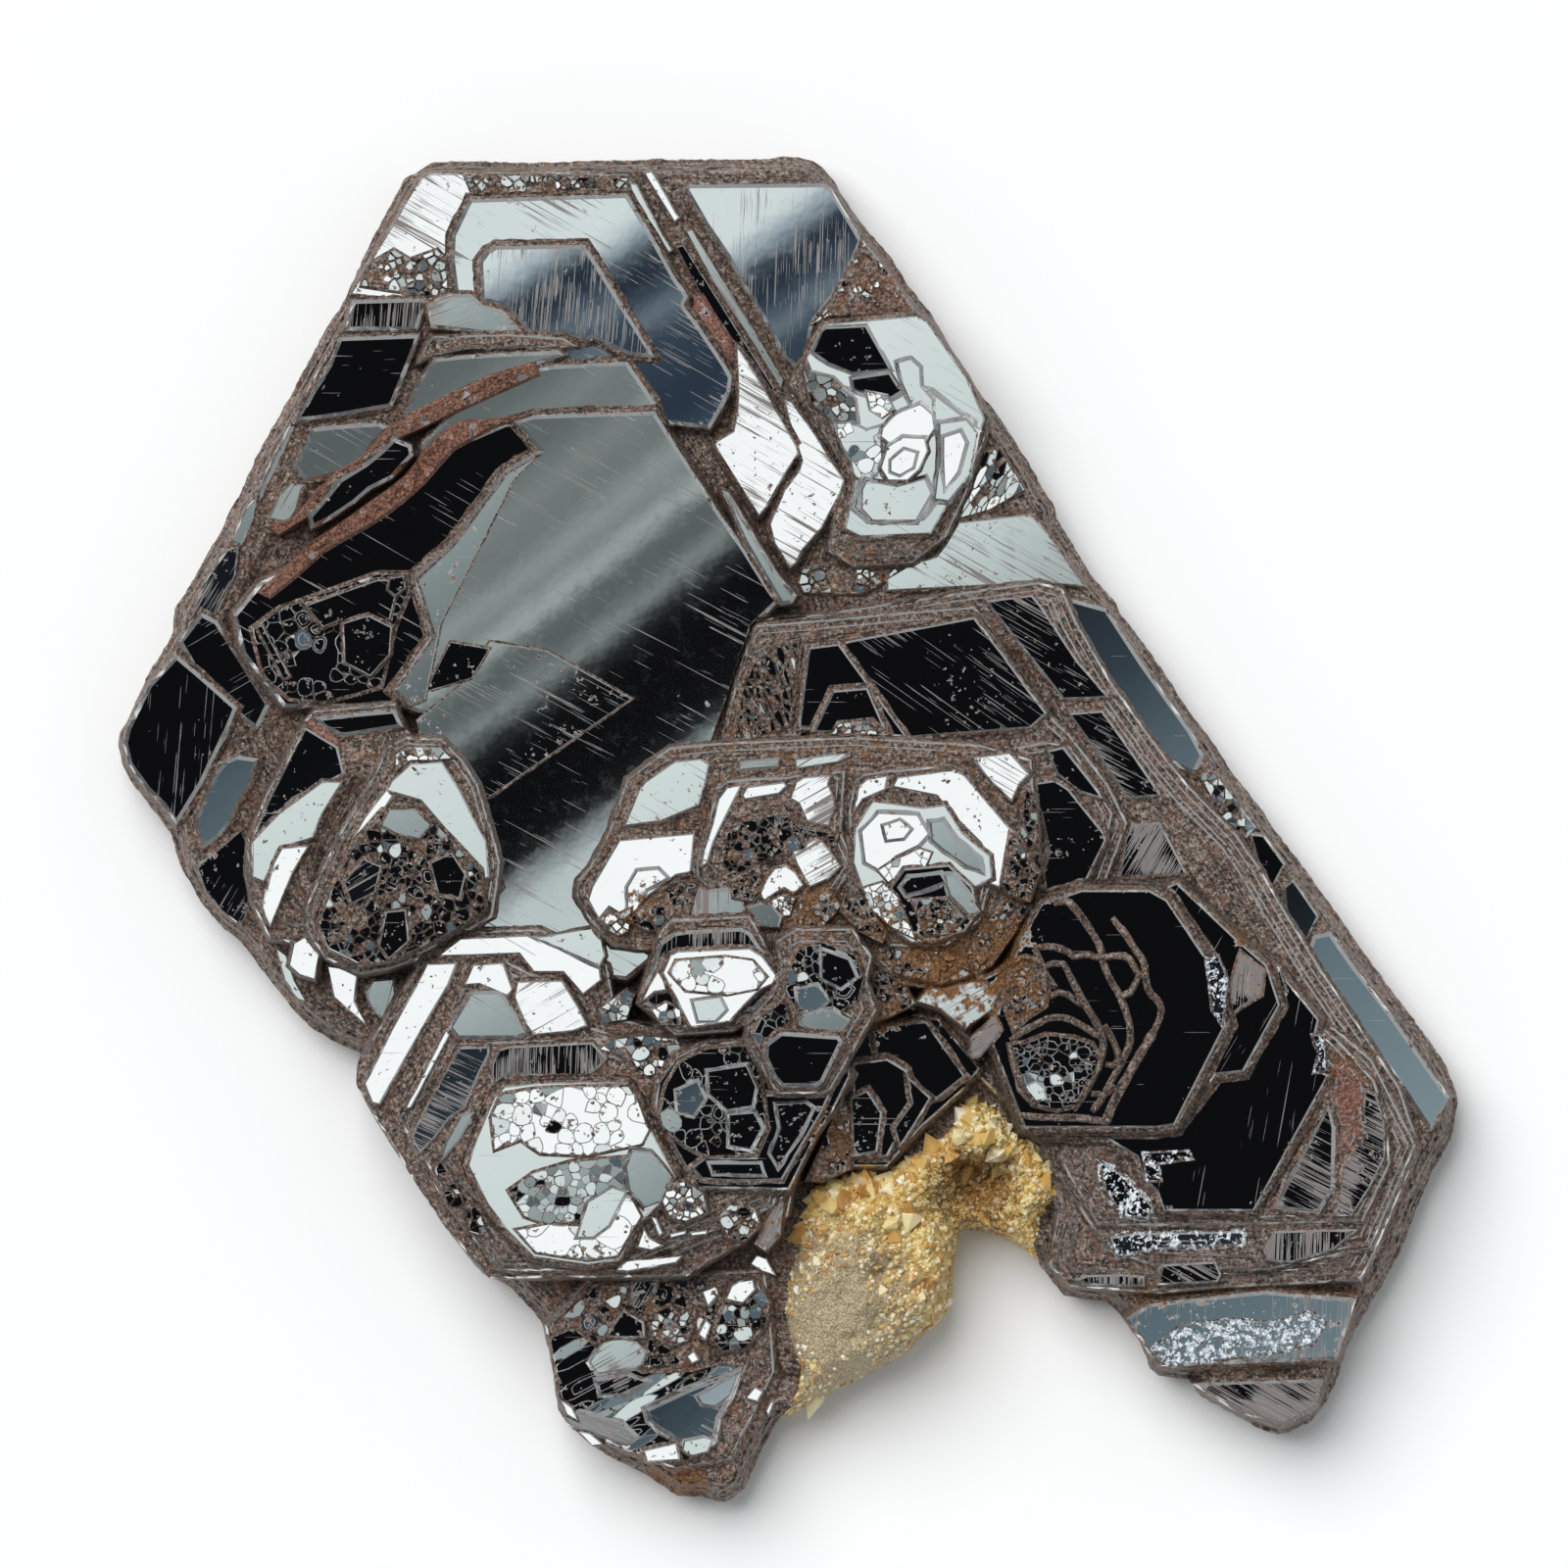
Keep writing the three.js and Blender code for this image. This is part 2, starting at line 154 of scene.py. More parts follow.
# --- upper left terraces, stepping up to the central face
plate("T2", "460,265 461,240 479,203 640,198 668,245 690,285 702,302 698,312 715,335 740,372 747,385 745,400 735,420 724,438 664,430 600,400 470,345", -82, .22, 7, hatch=(-30, .4), at=(632, 262))
plate("L1", "352,337 360,306 434,304 437,313 430,322 426,337", K, .15, 4, hatch=(85, .75))
plate("L2", "300,430 335,372 346,344 428,341 425,352 412,385 400,415 350,424", K, .15, 5)
plate("T3", "489,267 497,256 506,251 597,250 601,256 632,306 668,365 640,362 605,345 598,348 575,340 540,341 530,328 515,313 500,309 491,308", -82, .22, 7, hatch=(85, .5), at=(540, 290))
plate("T3u", "436,312 452,300 480,300 495,312 512,316 528,332 538,344 470,338 440,335", G, .08, 4, hatch=(20, .8), rust=.5)
plate("L3a", "425,372 436,350 443,343 520,341 575,345 590,354 480,356 445,363", K, .1, 4, kind="wall")
plate("L3", "412,425 428,388 443,366 470,363 520,360 570,358 576,363 540,375 500,389 455,407 437,420 422,427", -19, .14, 4)
plate("L6", "318,437 342,434 387,431 397,437 380,455 372,468 345,484 312,492 300,476", -22, .14, 5, hatch=(-30, .3))
plate("L6b", "296,492 309,495 303,520 295,533 272,530 284,505", G, .08, 3, hatch=(60, .6))
plate("L4", "545,376 565,373 640,369 668,410 672,425 520,470 430,470 430,452 470,412", -18, .18, 6, hatch=(-30, .2))
plate("cr1", "545,372 500,385 460,404 420,424 398,437 382,456 371,467 344,483 322,505 300,530 275,538 285,545 310,530 330,512 350,492 376,475 392,460 408,447 432,436 470,417 510,399 548,382", W, .1, 3, kind="rubble", cell=7, brown=.86, amp=.16, rust=.9, red=.7)
plate("L4b", "402,447 420,454 422,465 400,489 378,500 362,514 338,530 318,540 315,527 329,511 347,489 373,473 389,460", K, .08, 4)
plate("D1", "455,458 515,432 600,420 660,430 600,600 470,720 400,722 290,722 248,668 238,628 266,594 306,576 344,547 367,536 391,522 407,509 429,489", K, .2, 7, hatch=(-30, .25))
plate("cr2", "470,432 448,446 430,466 414,486 396,500 376,514 358,527 338,541 320,553 300,572 283,590 268,604 276,608 296,592 312,578 330,562 350,550 372,538 394,524 412,510 432,492 462,458 500,436 540,424", W, .12, 3, kind="rubble", cell=7, brown=.86, amp=.16, rust=1.0, red=.8)
plate("R2", "258,642 285,622 330,606 385,586 414,586 416,606 402,640 388,700 330,716 296,712 270,690", K, .05, 4, kind="rubble", flat=1, ground=1, cell=12, mixed=.08, vary=7, gap=.7, sparse=.3)
plate("R2a", "312,618 345,606 385,592 408,592 398,632 372,640 350,632 330,640", K, .08, 3, hatch=(-30, .2), rim=1.2)
plate("R2b", "350,636 376,628 400,640 398,668 378,690 352,676", K, .06, 3, rim=1.2)
plate("R2e", "398,590 412,588 414,600 404,608 396,602", K, .05, 2, rim=1.0)
plate("R2f", "262,640 268,638 296,690 290,694", K, .05, 2, rim=1.0)
plate("C", "525,430 545,424 600,422 668,420 700,470 730,517 760,560 785,600 795,614 768,640 758,680 745,712 735,770 760,900 640,1000 550,990 470,960 480,900 470,740 420,725 400,705 440,650 422,588 460,554 515,480 550,460", -12, .22, 7, hatch=(-28, .3), at=(640, 610))
plate("Cv", "558,664 645,713 490,820 440,800 425,735 470,700 500,655", -12, .02, 2, rim=1.0, at=(640, 610), hatch=(-28, .3))
plate("Cq", "460,655 500,662 482,692 435,706 442,690", 34, .02, 2, rim=.8)
plate("Cs", "524,490 548,466 518,484 464,557 427,592 445,650 405,704 420,720 434,714 450,636", -26.5, .03, 2, rim=1.0)
plate("S1", "736,500 744,503 792,583 813,608 808,616 797,618 760,555", G, .1, 4, hatch=(-55, .5))

# --- left wing
plate("K3base", "298,760 311,736 322,725 404,718 416,745 500,850 512,905 445,985 275,958 257,919 252,892 254,856 269,818", K, .4, 4.2, kind="wall")
plate("K3m", "312,742 345,762 352,790 338,797 300,815 258,856 275,815 300,765", 44, .06, 3)
plate("K3p", "330,797 350,798 330,830 320,855 288,865 270,900 258,895 258,858 285,830", PA, .08, 3)
plate("K3w", "288,865 316,863 300,890 277,945 268,925 280,880", W, .08, 3)
plate("K3r", "313,737 331,738 347,760 330,752", K, .04, 2, rust=1.2, red=1)
plate("K3k", "322,732 404,724 412,742 350,752 330,742", K, .1, 4)
plate("K5a", "300,962 312,955 327,975 322,1000 306,995 295,985", W, .12, 4)
plate("K5b", "333,985 365,990 362,1022 374,1046 340,1018", W, .12, 4)
plate("K5c", "372,1012 380,1000 402,998 404,1015 390,1042 376,1025", G, .1, 3, hatch=(75, .6))
plate("K4base", "396,762 415,752 452,754 472,775 488,800 503,850 511,880 508,905 503,935 465,958 440,975 395,990 368,994 333,978 316,952 311,930 342,860 383,790", K, .55, 4.2, kind="wall")
plate("K4p", "400,797 420,779 452,777 470,806 487,840 497,858 500,895 490,900 460,852 430,817 395,807", PA, .12, 4)
plate("K4w", "352,872 372,835 395,805 402,812 380,846 362,880", W, .08, 3)
plate("K4t", "405,770 418,762 450,763 462,774 440,776 420,776 404,788", W, .06, 2, kind="rubble", flat=1, cell=8, mixed=.25, vary=8, gap=.8, sparse=.2)
plate("K4c", "326,942 342,902 362,862 392,828 428,824 462,858 490,888 496,928 462,950 400,980 370,984 336,967", K, 0.16, 5, kind="rubble", flat=1, cell=9, mixed=0.16, vary=7, gap=0.9, sparse=0.22)
plate("K4d", "398,826 424,826 440,842 428,856 404,850 390,842", G, .05, 2.5, rim=1.2)
plate("K4e", "440,880 462,870 476,892 470,916 448,912", K, .05, 3, rim=1.2)
plate("K4f", "352,900 372,876 390,884 384,910 360,922", 46, .04, 3, hatch=(30, .6), rim=1.2)
plate("K4k", "395,930 415,928 418,960 398,978 388,965", K, .12, 3, rim=1.2)

# --- right stack, outer terraces
plate("B0", "766,640 772,632 825,628 1000,602 1060,594 1084,601 1098,634 1133,695 1189,773 1214,803 1262,852 1284,884 1310,928 1347,988 1397,1062 1429,1112 1448,1170 1402,1280 1388,1307 1250,1314 1180,1320 1090,1312 1070,1290 1080,1235 1050,1150 900,1000 720,770 745,700 755,665", K, .45, 4.2, kind="wall")
plate("B1", "1005,613 1053,607 1062,618 1100,675 1132,712 1085,714 1050,670 1012,622", K, .1, 3, hatch=(-30, .32))
plate("B3", "1090,728 1125,725 1150,760 1185,812 1150,815 1120,770", K, .08, 3, hatch=(-28, .6))
plate("Q1", "1150,842 1183,838 1211,892 1142,895", K, .08, 3, hatch=(60, .8))
plate("BR0", "1200,930 1262,962 1340,1040 1363,1050 1400,1082 1430,1141 1444,1168 1398,1274 1290,1296 1180,1292 1130,1276 1080,1200", K, .2, 4.2, kind="wall")
plate("BRk1", "1180,1311 1186,1290 1240,1287 1246,1300 1242,1308", K, .05, 2, hatch=(-30, .4))
plate("BRk2", "1095,1306 1110,1301 1145,1300 1168,1302 1168,1313 1110,1311", K, .05, 2, hatch=(90, .6))
plate("BRs1", "1132,1262 1160,1258 1215,1257 1268,1256 1272,1270 1230,1272 1180,1274 1140,1282", 50, .06, 3, frost=.35, hatch=(0, .3))
plate("BRh", "1300,1256 1385,1254 1360,1275 1318,1288 1292,1286 1290,1272", K, .06, 3, hatch=(88, .9))
plate("BR1", "1220,950 1262,965 1340,1040 1366,1062 1386,1085 1402,1103 1414,1141 1418,1187 1390,1246 1250,1250 1120,1250 1080,1180", K, .16, 4.2, kind="wall")
plate("BRr", "1360,1092 1374,1084 1390,1106 1388,1150 1376,1172 1364,1138", K, .03, 3, kind="wall", rust=.85, red=1)
plate("BRp", "1392,1112 1404,1118 1412,1148 1412,1180 1396,1212 1378,1240 1362,1240 1372,1190 1390,1160", 42, .04, 3, hatch=(-28, 1.0), rust=.35, rim=1.0)
plate("BRt", "1298,1233 1355,1126 1362,1150 1361,1212 1345,1238", 42, .12, 5, hatch=(-28, .8))
plate("BRe", "1122,1186 1136,1192 1160,1214 1176,1232 1170,1242 1146,1240 1128,1214", 44, .1, 4, frost=.42, rim=1.2)
plate("Bout", "1262,960 1300,985 1345,1040 1340,1060 1347,1075 1342,1090 1355,1097 1279,1235 1187,1235 1180,1215 1166,1202 1160,1180 1130,1162 1060,1160 1045,1150 1000,1000 1200,900", K, .3, 9, hatch=(80, .10), rim=2.0)
plate("Bfr", "1166,1176 1212,1174 1216,1182 1180,1186 1184,1204 1170,1204", 34, .015, 2, frost=.3, rim=.6)
plate("Brf2", "1296,980 1304,986 1312,1012 1306,1024 1298,1004", 46, .03, 2, frost=.35, rim=.6)
plate("Bsp", "1338,1056 1350,1056 1352,1092 1340,1094 1345,1075", 48, .04, 2, frost=.35, rim=.8)
plate("Bmid", "1258,955 1292,985 1305,1025 1268,1093 1240,1096 1200,1150 1050,1150 1000,1000 1200,900", K, .25, 9, hatch=(60, .2), rim=2.0)
plate("Q3", "1265,970 1290,990 1287,1015 1265,1028 1252,1040 1254,1005", K, .05, 2, hatch=(85, 1.0), rust=.5)
plate("b1", "768,645 772,638 825,634 921,625 994,619 1025,665 1068,728 1090,748 1130,800 1150,840 1120,920 1060,960 800,800 735,770 750,700", K, .3, 4.2, kind="wall")
plate("b2", "862,655 994,630 1025,670 1050,705 1068,728 1051,743 925,753 815,760 822,662", K, .16, 6, hatch=(-35, .28), rim=2.0)
plate("bl", "776,662 815,655 806,742 748,760 758,700", K, .05, 4, kind="rubble", flat=1, cell=11, mixed=.06, vary=7, gap=1.8, sparse=.12, rust=.3, stretch=(70, 1.5))
plate("bt1", "815,742 825,661 856,657 925,752", K, .12, 6, rim=2.0)
plate("bt2", "830,747 850,705 885,702 905,748", K, .12, 6, rim=2.0)
plate("bt3", "846,752 856,738 890,735 906,750", PA, .04, 3, kind="rubble", flat=1, cell=8, mixed=.4, vary=9, gap=.9, sparse=.25, rust=.3)
plate("Kb", "1040,762 1070,757 1092,762 1135,830 1128,858 1104,915 1062,930 1020,930 1030,830", K, .2, 4.2, kind="wall")
plate("B4", "1068,766 1085,762 1115,800 1125,815 1100,808 1078,790", K, .06, 3)
plate("Ksh", "1048,800 1076,796 1090,805 1126,850 1128,858 1100,915 1068,920 1064,890 1070,870 1062,830", K, .12, 6, rim=2.0)
plate("Hex", "1103,908 1172,908 1190,918 1235,985 1250,1045 1198,1147 1180,1150 1045,1150 1010,1060 1040,960 1062,922", K, .28, 12, rim=2.0)
plate("HexS", "1230,978 1242,975 1252,1000 1246,1046 1236,1030", 48, .04, 2, frost=.35, rim=.8)
plate("R9", "1031,1066 1041,1111 1055,1126 1078,1131 1098,1126 1116,1094 1120,1079 1113,1065 1095,1059 1066,1056 1046,1064", K, .1, 4, kind="rubble", flat=1, ground=1, cell=8, mixed=.2, vary=8, gap=.8, sparse=.25)
plate("R9n", "1027,984 1044,978 1060,984 1070,1004 1066,1026 1050,1036 1034,1050 1026,1030", K, .05, 3, kind="rubble", flat=1, cell=9, mixed=.06, vary=7, gap=1.6, sparse=.35, rust=.6)
plate("R9w", "1046,1108 1056,1104 1064,1110 1066,1120 1054,1122", -40, .06, 2, rim=0, bare=1)
plate("Ha", "1076.8,922.0 1085.2,920.1 1089.9,922.2 1095.4,928.5 1101.5,936.3 1107.9,945.7 1114.2,954.3 1118.9,963.0 1121.4,970.4 1122.3,976.7 1124.3,984.9 1128.5,994.3 1132.7,1003.2 1137.8,1011.0 1141.9,1019.7 1145.5,1028.9 1148.7,1037.8 1150.7,1046.3 1151.4,1054.4 1150.5,1062.1 1148.5,1069.7 1145.2,1077.7 1140.4,1086.1 1135.7,1095.7 1130.4,1104.9 1125.6,1114.4 1120.9,1122.1 1115.9,1127.8 1114.3,1131.4 1115.6,1132.4 1118.7,1130.0 1122.9,1123.5 1127.9,1115.7 1133.2,1106.5 1138.0,1096.9 1143.5,1087.7 1147.5,1078.8 1151.7,1070.9 1154.0,1062.7 1154.2,1054.4 1153.4,1045.9 1151.0,1037.1 1148.5,1027.9 1144.8,1018.4 1140.2,1009.7 1135.3,1001.7 1130.8,993.2 1127.7,983.8 1125.5,976.1 1124.9,969.5 1121.6,961.7 1116.2,953.0 1110.9,943.6 1104.3,934.2 1098.2,926.1 1092.1,919.4 1085.2,916.7 1076.3,920.1", K, .08, 2.2, kind="wall", rim=0)
plate("Hb", "1135.2,938.3 1143.5,950.1 1149.1,958.0 1154.6,966.5 1159.1,973.9 1163.5,979.1 1165.7,985.7 1166.6,994.2 1167.2,1002.0 1168.9,1008.8 1172.6,1015.2 1178.4,1020.6 1182.0,1025.4 1183.0,1030.3 1181.7,1037.4 1177.7,1046.7 1176.2,1051.6 1177.4,1052.2 1179.9,1047.7 1184.0,1038.2 1185.7,1030.4 1184.4,1024.4 1181.0,1018.4 1175.2,1013.0 1171.7,1007.6 1170.5,1001.4 1169.1,994.0 1168.8,985.2 1166.1,977.7 1161.9,971.9 1156.8,965.1 1151.9,956.2 1146.3,948.0 1136.4,937.3", K, .08, 2.2, kind="wall", rim=0)
plate("Hb2", "1175.6,1051.1 1171.5,1055.1 1166.4,1064.9 1159.9,1074.3 1154.4,1084.6 1148.7,1094.7 1142.4,1104.6 1137.2,1115.3 1132.1,1126.3 1128.3,1134.7 1126.0,1140.5 1126.5,1143.9 1128.9,1144.8 1131.4,1142.4 1133.2,1136.7 1136.6,1128.4 1141.9,1117.7 1147.7,1107.5 1152.9,1097.2 1158.7,1087.1 1164.8,1077.2 1169.9,1067.1 1176.3,1058.0 1178.0,1052.7", K, .08, 2.2, kind="wall", rim=0)
plate("Hc", "1056.4,967.7 1068.3,966.5 1075.7,967.7 1082.9,969.9 1088.8,972.1 1092.8,975.6 1095.4,976.6 1096.4,975.3 1094.7,973.0 1090.0,970.2 1084.1,966.9 1076.3,964.5 1068.2,964.2 1056.2,965.6", K, .08, 2.2, kind="wall", rim=0)
plate("Hc2", "1096.1,976.7 1105.3,975.2 1111.8,975.6 1119.0,977.6 1126.9,978.2 1134.8,976.1 1141.6,976.1 1147.2,977.0 1151.3,979.9 1154.7,985.2 1158.7,992.4 1159.9,993.6 1161.3,992.9 1160.9,991.2 1156.9,984.0 1153.7,977.7 1148.3,974.0 1141.8,973.1 1134.5,973.8 1126.6,975.0 1119.3,975.3 1112.1,973.5 1105.1,973.1 1095.8,975.1", K, .08, 2.2, kind="wall", rim=0)
plate("Hd", "1084.0,984.5 1090.7,997.6 1095.2,1007.2 1100.4,1017.4 1105.8,1027.0 1112.1,1035.7 1116.6,1044.4 1121.4,1051.7 1123.4,1058.9 1123.3,1065.6 1122.2,1072.9 1120.8,1080.7 1117.7,1088.3 1114.2,1096.3 1110.1,1104.5 1105.2,1113.0 1100.8,1120.5 1096.8,1126.9 1095.2,1130.3 1096.6,1131.2 1099.1,1128.3 1103.2,1122.0 1107.8,1114.6 1112.7,1106.0 1117.2,1097.8 1121.3,1089.8 1123.7,1081.6 1126.1,1073.5 1126.7,1065.8 1126.4,1058.4 1123.9,1050.6 1120.0,1042.4 1114.4,1034.3 1109.1,1025.0 1103.6,1015.6 1098.4,1005.6 1093.1,996.4 1085.9,983.5", K, .08, 2.2, kind="wall", rim=0)
plate("He", "1055.9,970.4 1059.6,981.5 1063.2,988.6 1066.7,995.9 1069.7,1001.7 1075.1,1006.5 1076.2,1005.5 1072.1,999.8 1068.5,994.9 1065.1,987.8 1062.3,980.4 1057.4,969.8", K, .08, 2.2, kind="wall", rim=0)
plate("Hf", "1066.1,986.3 1073.4,983.7 1083.0,984.2 1085.4,984.2 1085.6,982.7 1083.1,981.8 1073.1,981.7 1065.6,985.1", K, .08, 2.2, kind="wall", rim=0)
plate("Hg", "1126.5,1047.3 1131.7,1057.1 1135.4,1064.6 1138.4,1073.5 1139.8,1079.6 1135.4,1085.5 1129.5,1084.9 1129.3,1086.5 1136.5,1087.6 1141.6,1080.2 1141.2,1072.7 1137.3,1063.8 1133.8,1056.0 1127.7,1046.6", K, .08, 2.2, kind="wall", rim=0)
plate("Hh", "1032.8,1060.2 1041.9,1054.4 1048.5,1050.5 1056.0,1046.7 1062.9,1043.3 1068.5,1040.0 1075.4,1038.8 1083.5,1038.8 1091.5,1041.3 1099.8,1045.3 1107.9,1050.1 1115.8,1055.6 1120.3,1057.6 1121.3,1056.0 1117.6,1052.8 1109.3,1047.9 1101.0,1043.2 1092.6,1038.5 1083.8,1036.5 1075.1,1036.2 1067.7,1037.9 1061.5,1040.7 1054.8,1044.1 1047.0,1047.7 1040.2,1052.0 1032.0,1059.2", K, .08, 2.2, kind="wall", rim=0)
plate("Hi", "1072.6,1016.5 1079.2,1013.0 1088.9,1015.5 1093.6,1018.9 1098.5,1023.1 1101.3,1024.9 1102.1,1024.0 1100.0,1021.4 1095.1,1017.0 1089.7,1013.4 1079.1,1010.8 1071.8,1015.1", K, .08, 2.2, kind="wall", rim=0)
plate("Hj", "1161.6,992.9 1157.6,1000.9 1154.5,1006.3 1151.0,1011.1 1144.0,1014.0 1142.6,1014.9 1142.8,1016.7 1145.2,1017.3 1153.1,1013.8 1156.8,1007.7 1159.8,1002.0 1163.1,993.6", K, .08, 2.2, kind="wall", rim=0)
plate("Hk", "1043.3,1138.6 1050.4,1139.7 1064.9,1140.7 1079.4,1141.2 1093.8,1141.3 1107.5,1142.4 1120.8,1144.3 1127.5,1145.1 1127.9,1143.0 1121.3,1141.5 1108.0,1138.8 1093.9,1137.8 1079.5,1138.5 1065.1,1138.2 1050.7,1136.8 1043.4,1136.8", K, .08, 2.2, kind="wall", rim=0)
plate("Hl", "1114.9,1116.2 1124.2,1117.3 1129.9,1115.3 1134.5,1111.2 1136.2,1108.7 1135.3,1107.8 1132.8,1109.3 1128.6,1113.3 1124.0,1114.9 1115.0,1114.7", K, .08, 2.2, kind="wall", rim=0)
plate("Hm", "1028.5,1065.1 1029.6,1071.7 1032.3,1084.8 1035.6,1096.5 1039.8,1106.8 1045.1,1115.5 1050.6,1123.1 1054.1,1126.2 1055.7,1124.9 1053.4,1120.8 1047.4,1113.9 1042.8,1105.3 1038.9,1095.4 1035.3,1084.0 1032.3,1071.1 1030.4,1064.7", K, .08, 2.2, kind="wall", rim=0)
plate("Hn", "1035.1,982.3 1041.6,977.8 1046.6,977.5 1052.9,979.0 1057.7,982.0 1061.3,986.1 1063.5,988.0 1064.8,986.9 1063.2,984.5 1059.3,979.9 1053.7,976.9 1046.8,975.0 1040.8,976.0 1034.2,981.1", K, .08, 2.2, kind="wall", rim=0)
plate("E1", "945,1010 985,990 1000,1000 1016,1015 1012,1030 985,1050 960,1030 935,1022", -35, .08, 4, hatch=(30, .3))
plate("E2", "990,1058 1015,1035 1022,1050 1000,1078 988,1080", 40, .05, 2, hatch=(30, 1.0))
plate("Kc1", "868,1062 885,1045 940,1036 958,1040 1000,1090 985,1110 940,1150 905,1190 870,1190 862,1130", K, .25, 7, rim=2.0)
plate("Kc2", "890,1052 905,1046 945,1042 985,1098 960,1118 930,1130 912,1090 895,1078", K, .1, 5, rim=2.0)
plate("Kc3", "870,1085 905,1080 925,1092 935,1125 905,1180 880,1180 870,1130", K, .14, 6, rim=2.0)
plate("Kc4", "868,1120 885,1112 900,1135 895,1175 870,1180", K, .1, 5, rim=2.0)
plate("Kc5", "846,1150 860,1120 866,1140 868,1192 840,1206 822,1204", K, .05, 3, kind="rubble", flat=1, cell=9, mixed=.1, vary=7, gap=1.4, sparse=.45, rust=.3)
plate("Kc6", "925,1098 950,1120 932,1150 918,1170 912,1150 930,1125", K, .1, 4, rim=2.0)

# --- lower left lobe
plate("Q0", "556,1352 600,1306 700,1300 780,1296 786,1340 790,1400 745,1490 690,1500 600,1465 570,1430", K, .3, 5, kind="wall", rust=.4, red=.45, steps=1)
plate("Q0t", "566,1350 602,1314 700,1306 738,1308 725,1362 700,1392 660,1398 600,1372", K, .05, 4, kind="rubble", flat=1, cell=17, mixed=.16, vary=9, gap=2.0, sparse=.18, rust=.35, red=.3)
plate("Q0l", "562,1366 585,1356 612,1378 655,1402 705,1400 735,1392 757,1394 748,1424 734,1450 730,1474 700,1490 640,1480 604,1462 574,1428", 44, .07, 4, kind="rubble", flat=1, ground=1, cell=22, mixed=.42, vary=13, gap=.5, sparse=.45, stretch=(-30, 2.4))
plate("Q1a", "601,1390 614,1371 630,1364 650,1369 660,1380 653,1394 630,1399 610,1402", -33, .1, 3, hatch=(30, .8), bare=1)
plate("Q1b", "608,1408 640,1402 662,1410 640,1424 612,1424", K, .06, 3, hatch=(25, .7), bare=1)
plate("Q1c", "658,1438 703,1417 757,1397 748,1423 734,1447 730,1470 717,1482 700,1476 673,1460 662,1450", 56, .12, 4, hatch=(-28, .35), bare=1)
plate("Q1d", "710,1424 754,1401 745,1425 730,1436 716,1434", 72, .05, 2, hatch=(60, .4), bare=1)
plate("Q1e", "698,1470 718,1466 728,1468 722,1482 706,1486 696,1480", PA, .06, 2, bare=1)
plate("Q1f", "656,1480 690,1472 694,1490 660,1492", W, .1, 3)
plate("Q1g", "617,1365 636,1336 657,1349 658,1365", K, .1, 3)
plate("Q1h", "645,1308 672,1306 664,1325 651,1335 642,1331", K, .06, 2.5, hatch=(60, .7), rim=1.0)
plate("Q1i", "574,1446 592,1440 634,1450 650,1466 640,1476 606,1464 584,1458", -27, .05, 2.5, hatch=(-25, .6), bare=1)
plate("Q1j", "668,1340 684,1332 702,1338 708,1352 702,1368 684,1374 668,1366 664,1352", G, .07, 3, kind="rubble", flat=1, cell=7, mixed=.5, vary=9, gap=.9, sparse=.25, rust=.3)
plate("Q1k", "760,1427 770,1415 779,1420 773,1431", W, .05, 2)
plate("Q1l", "781,1440 786,1430 790,1432 784,1446", W, .05, 2)
plate("Q2", "728,1366 742,1322 756,1310 772,1308 786,1330 780,1354 760,1376 737,1379", 46, .2, 5, kind="rubble", flat=1, cell=10, mixed=.4, vary=10, gap=.6, sparse=.1)
plate("Q2w", "740,1326 746,1312 754,1307 768,1305 771,1316 758,1330", W, .1, 3)
plate("Q3w", "765,1290 772,1280 782,1284 792,1302 778,1298", W, .1, 2)
plate("Q4w", "712,1362 720,1346 726,1352 720,1368", W, .08, 2)
plate("Q5w", "700,1384 708,1378 714,1388 706,1392", W, .08, 2)
plate("Q6w", "716,1318 730,1312 734,1320 722,1334", W, .06, 2)
plate("Q7w", "588,1460 602,1462 616,1474 604,1476", W, .06, 2)
plate("Q8w", "572,1428 584,1436 590,1450 578,1444", W, .06, 2)

# --- lower right ledge
plate("Z0", "1148,1346 1172,1330 1290,1317 1384,1325 1364,1388 1182,1394", 62, .12, 8, hatch=(88, .5), rust=.5)
plate("Z1", "1176,1376 1205,1352 1255,1346 1300,1350 1338,1338 1352,1350 1340,1372 1300,1380 1240,1388 1196,1394", 62, .012, 2, rim=.6, frost=.45, hatch=(88, .3))
plate("Z2", "1216,1412 1350,1407 1344,1438 1310,1456 1260,1440", K, .06, 5, hatch=(-30, .85))

# --- left foot
plate("M0", "362,1105 366,1085 432,974 470,950 552,948 620,985 630,1040 700,1050 765,1050 830,1120 804,1240 700,1302 500,1304 448,1245", K, .4, 4.2, kind="wall")
plate("N1", "448,975 470,957 540,954 590,975 612,985 614,1000 595,1015 575,992 545,992 530,973 480,975", W, .1, 4, hatch=(-30, .2))
plate("N1g", "546,957 612,945 618,975 612,986 590,976", PA, .06, 3, bare=1)
plate("M1", "436,983 467,982 458,1005 440,1035 420,1070 400,1105 388,1127 380,1125 372,1105 378,1095 400,1050 425,1005", W, .14, 5)
plate("M0b", "408,1140 425,1108 470,1016 485,982 516,980 545,995 576,998 604,1048 640,1060 760,1060 820,1115 795,1240 640,1296 510,1296 450,1220", K, .14, 4.2, kind="wall")
plate("M2", "474,1005 483,984 514,982 524,1010 518,1016 490,1004", W, .08, 3)
plate("M2s", "412,1133 425,1110 450,1060 472,1020 480,1013 476,1025 455,1065 430,1112 420,1130", W, .06, 2)
plate("M3", "480,1011 507,1010 515,1015 530,1038 540,1055 528,1060 467,1060 458,1048 467,1033", -31, .1, 4, hatch=(-30, .4))
plate("M4", "528,1001 574,1000 590,1026 600,1046 585,1052 545,1056 536,1044 525,1017", W, .1, 4, hatch=(30, .5))
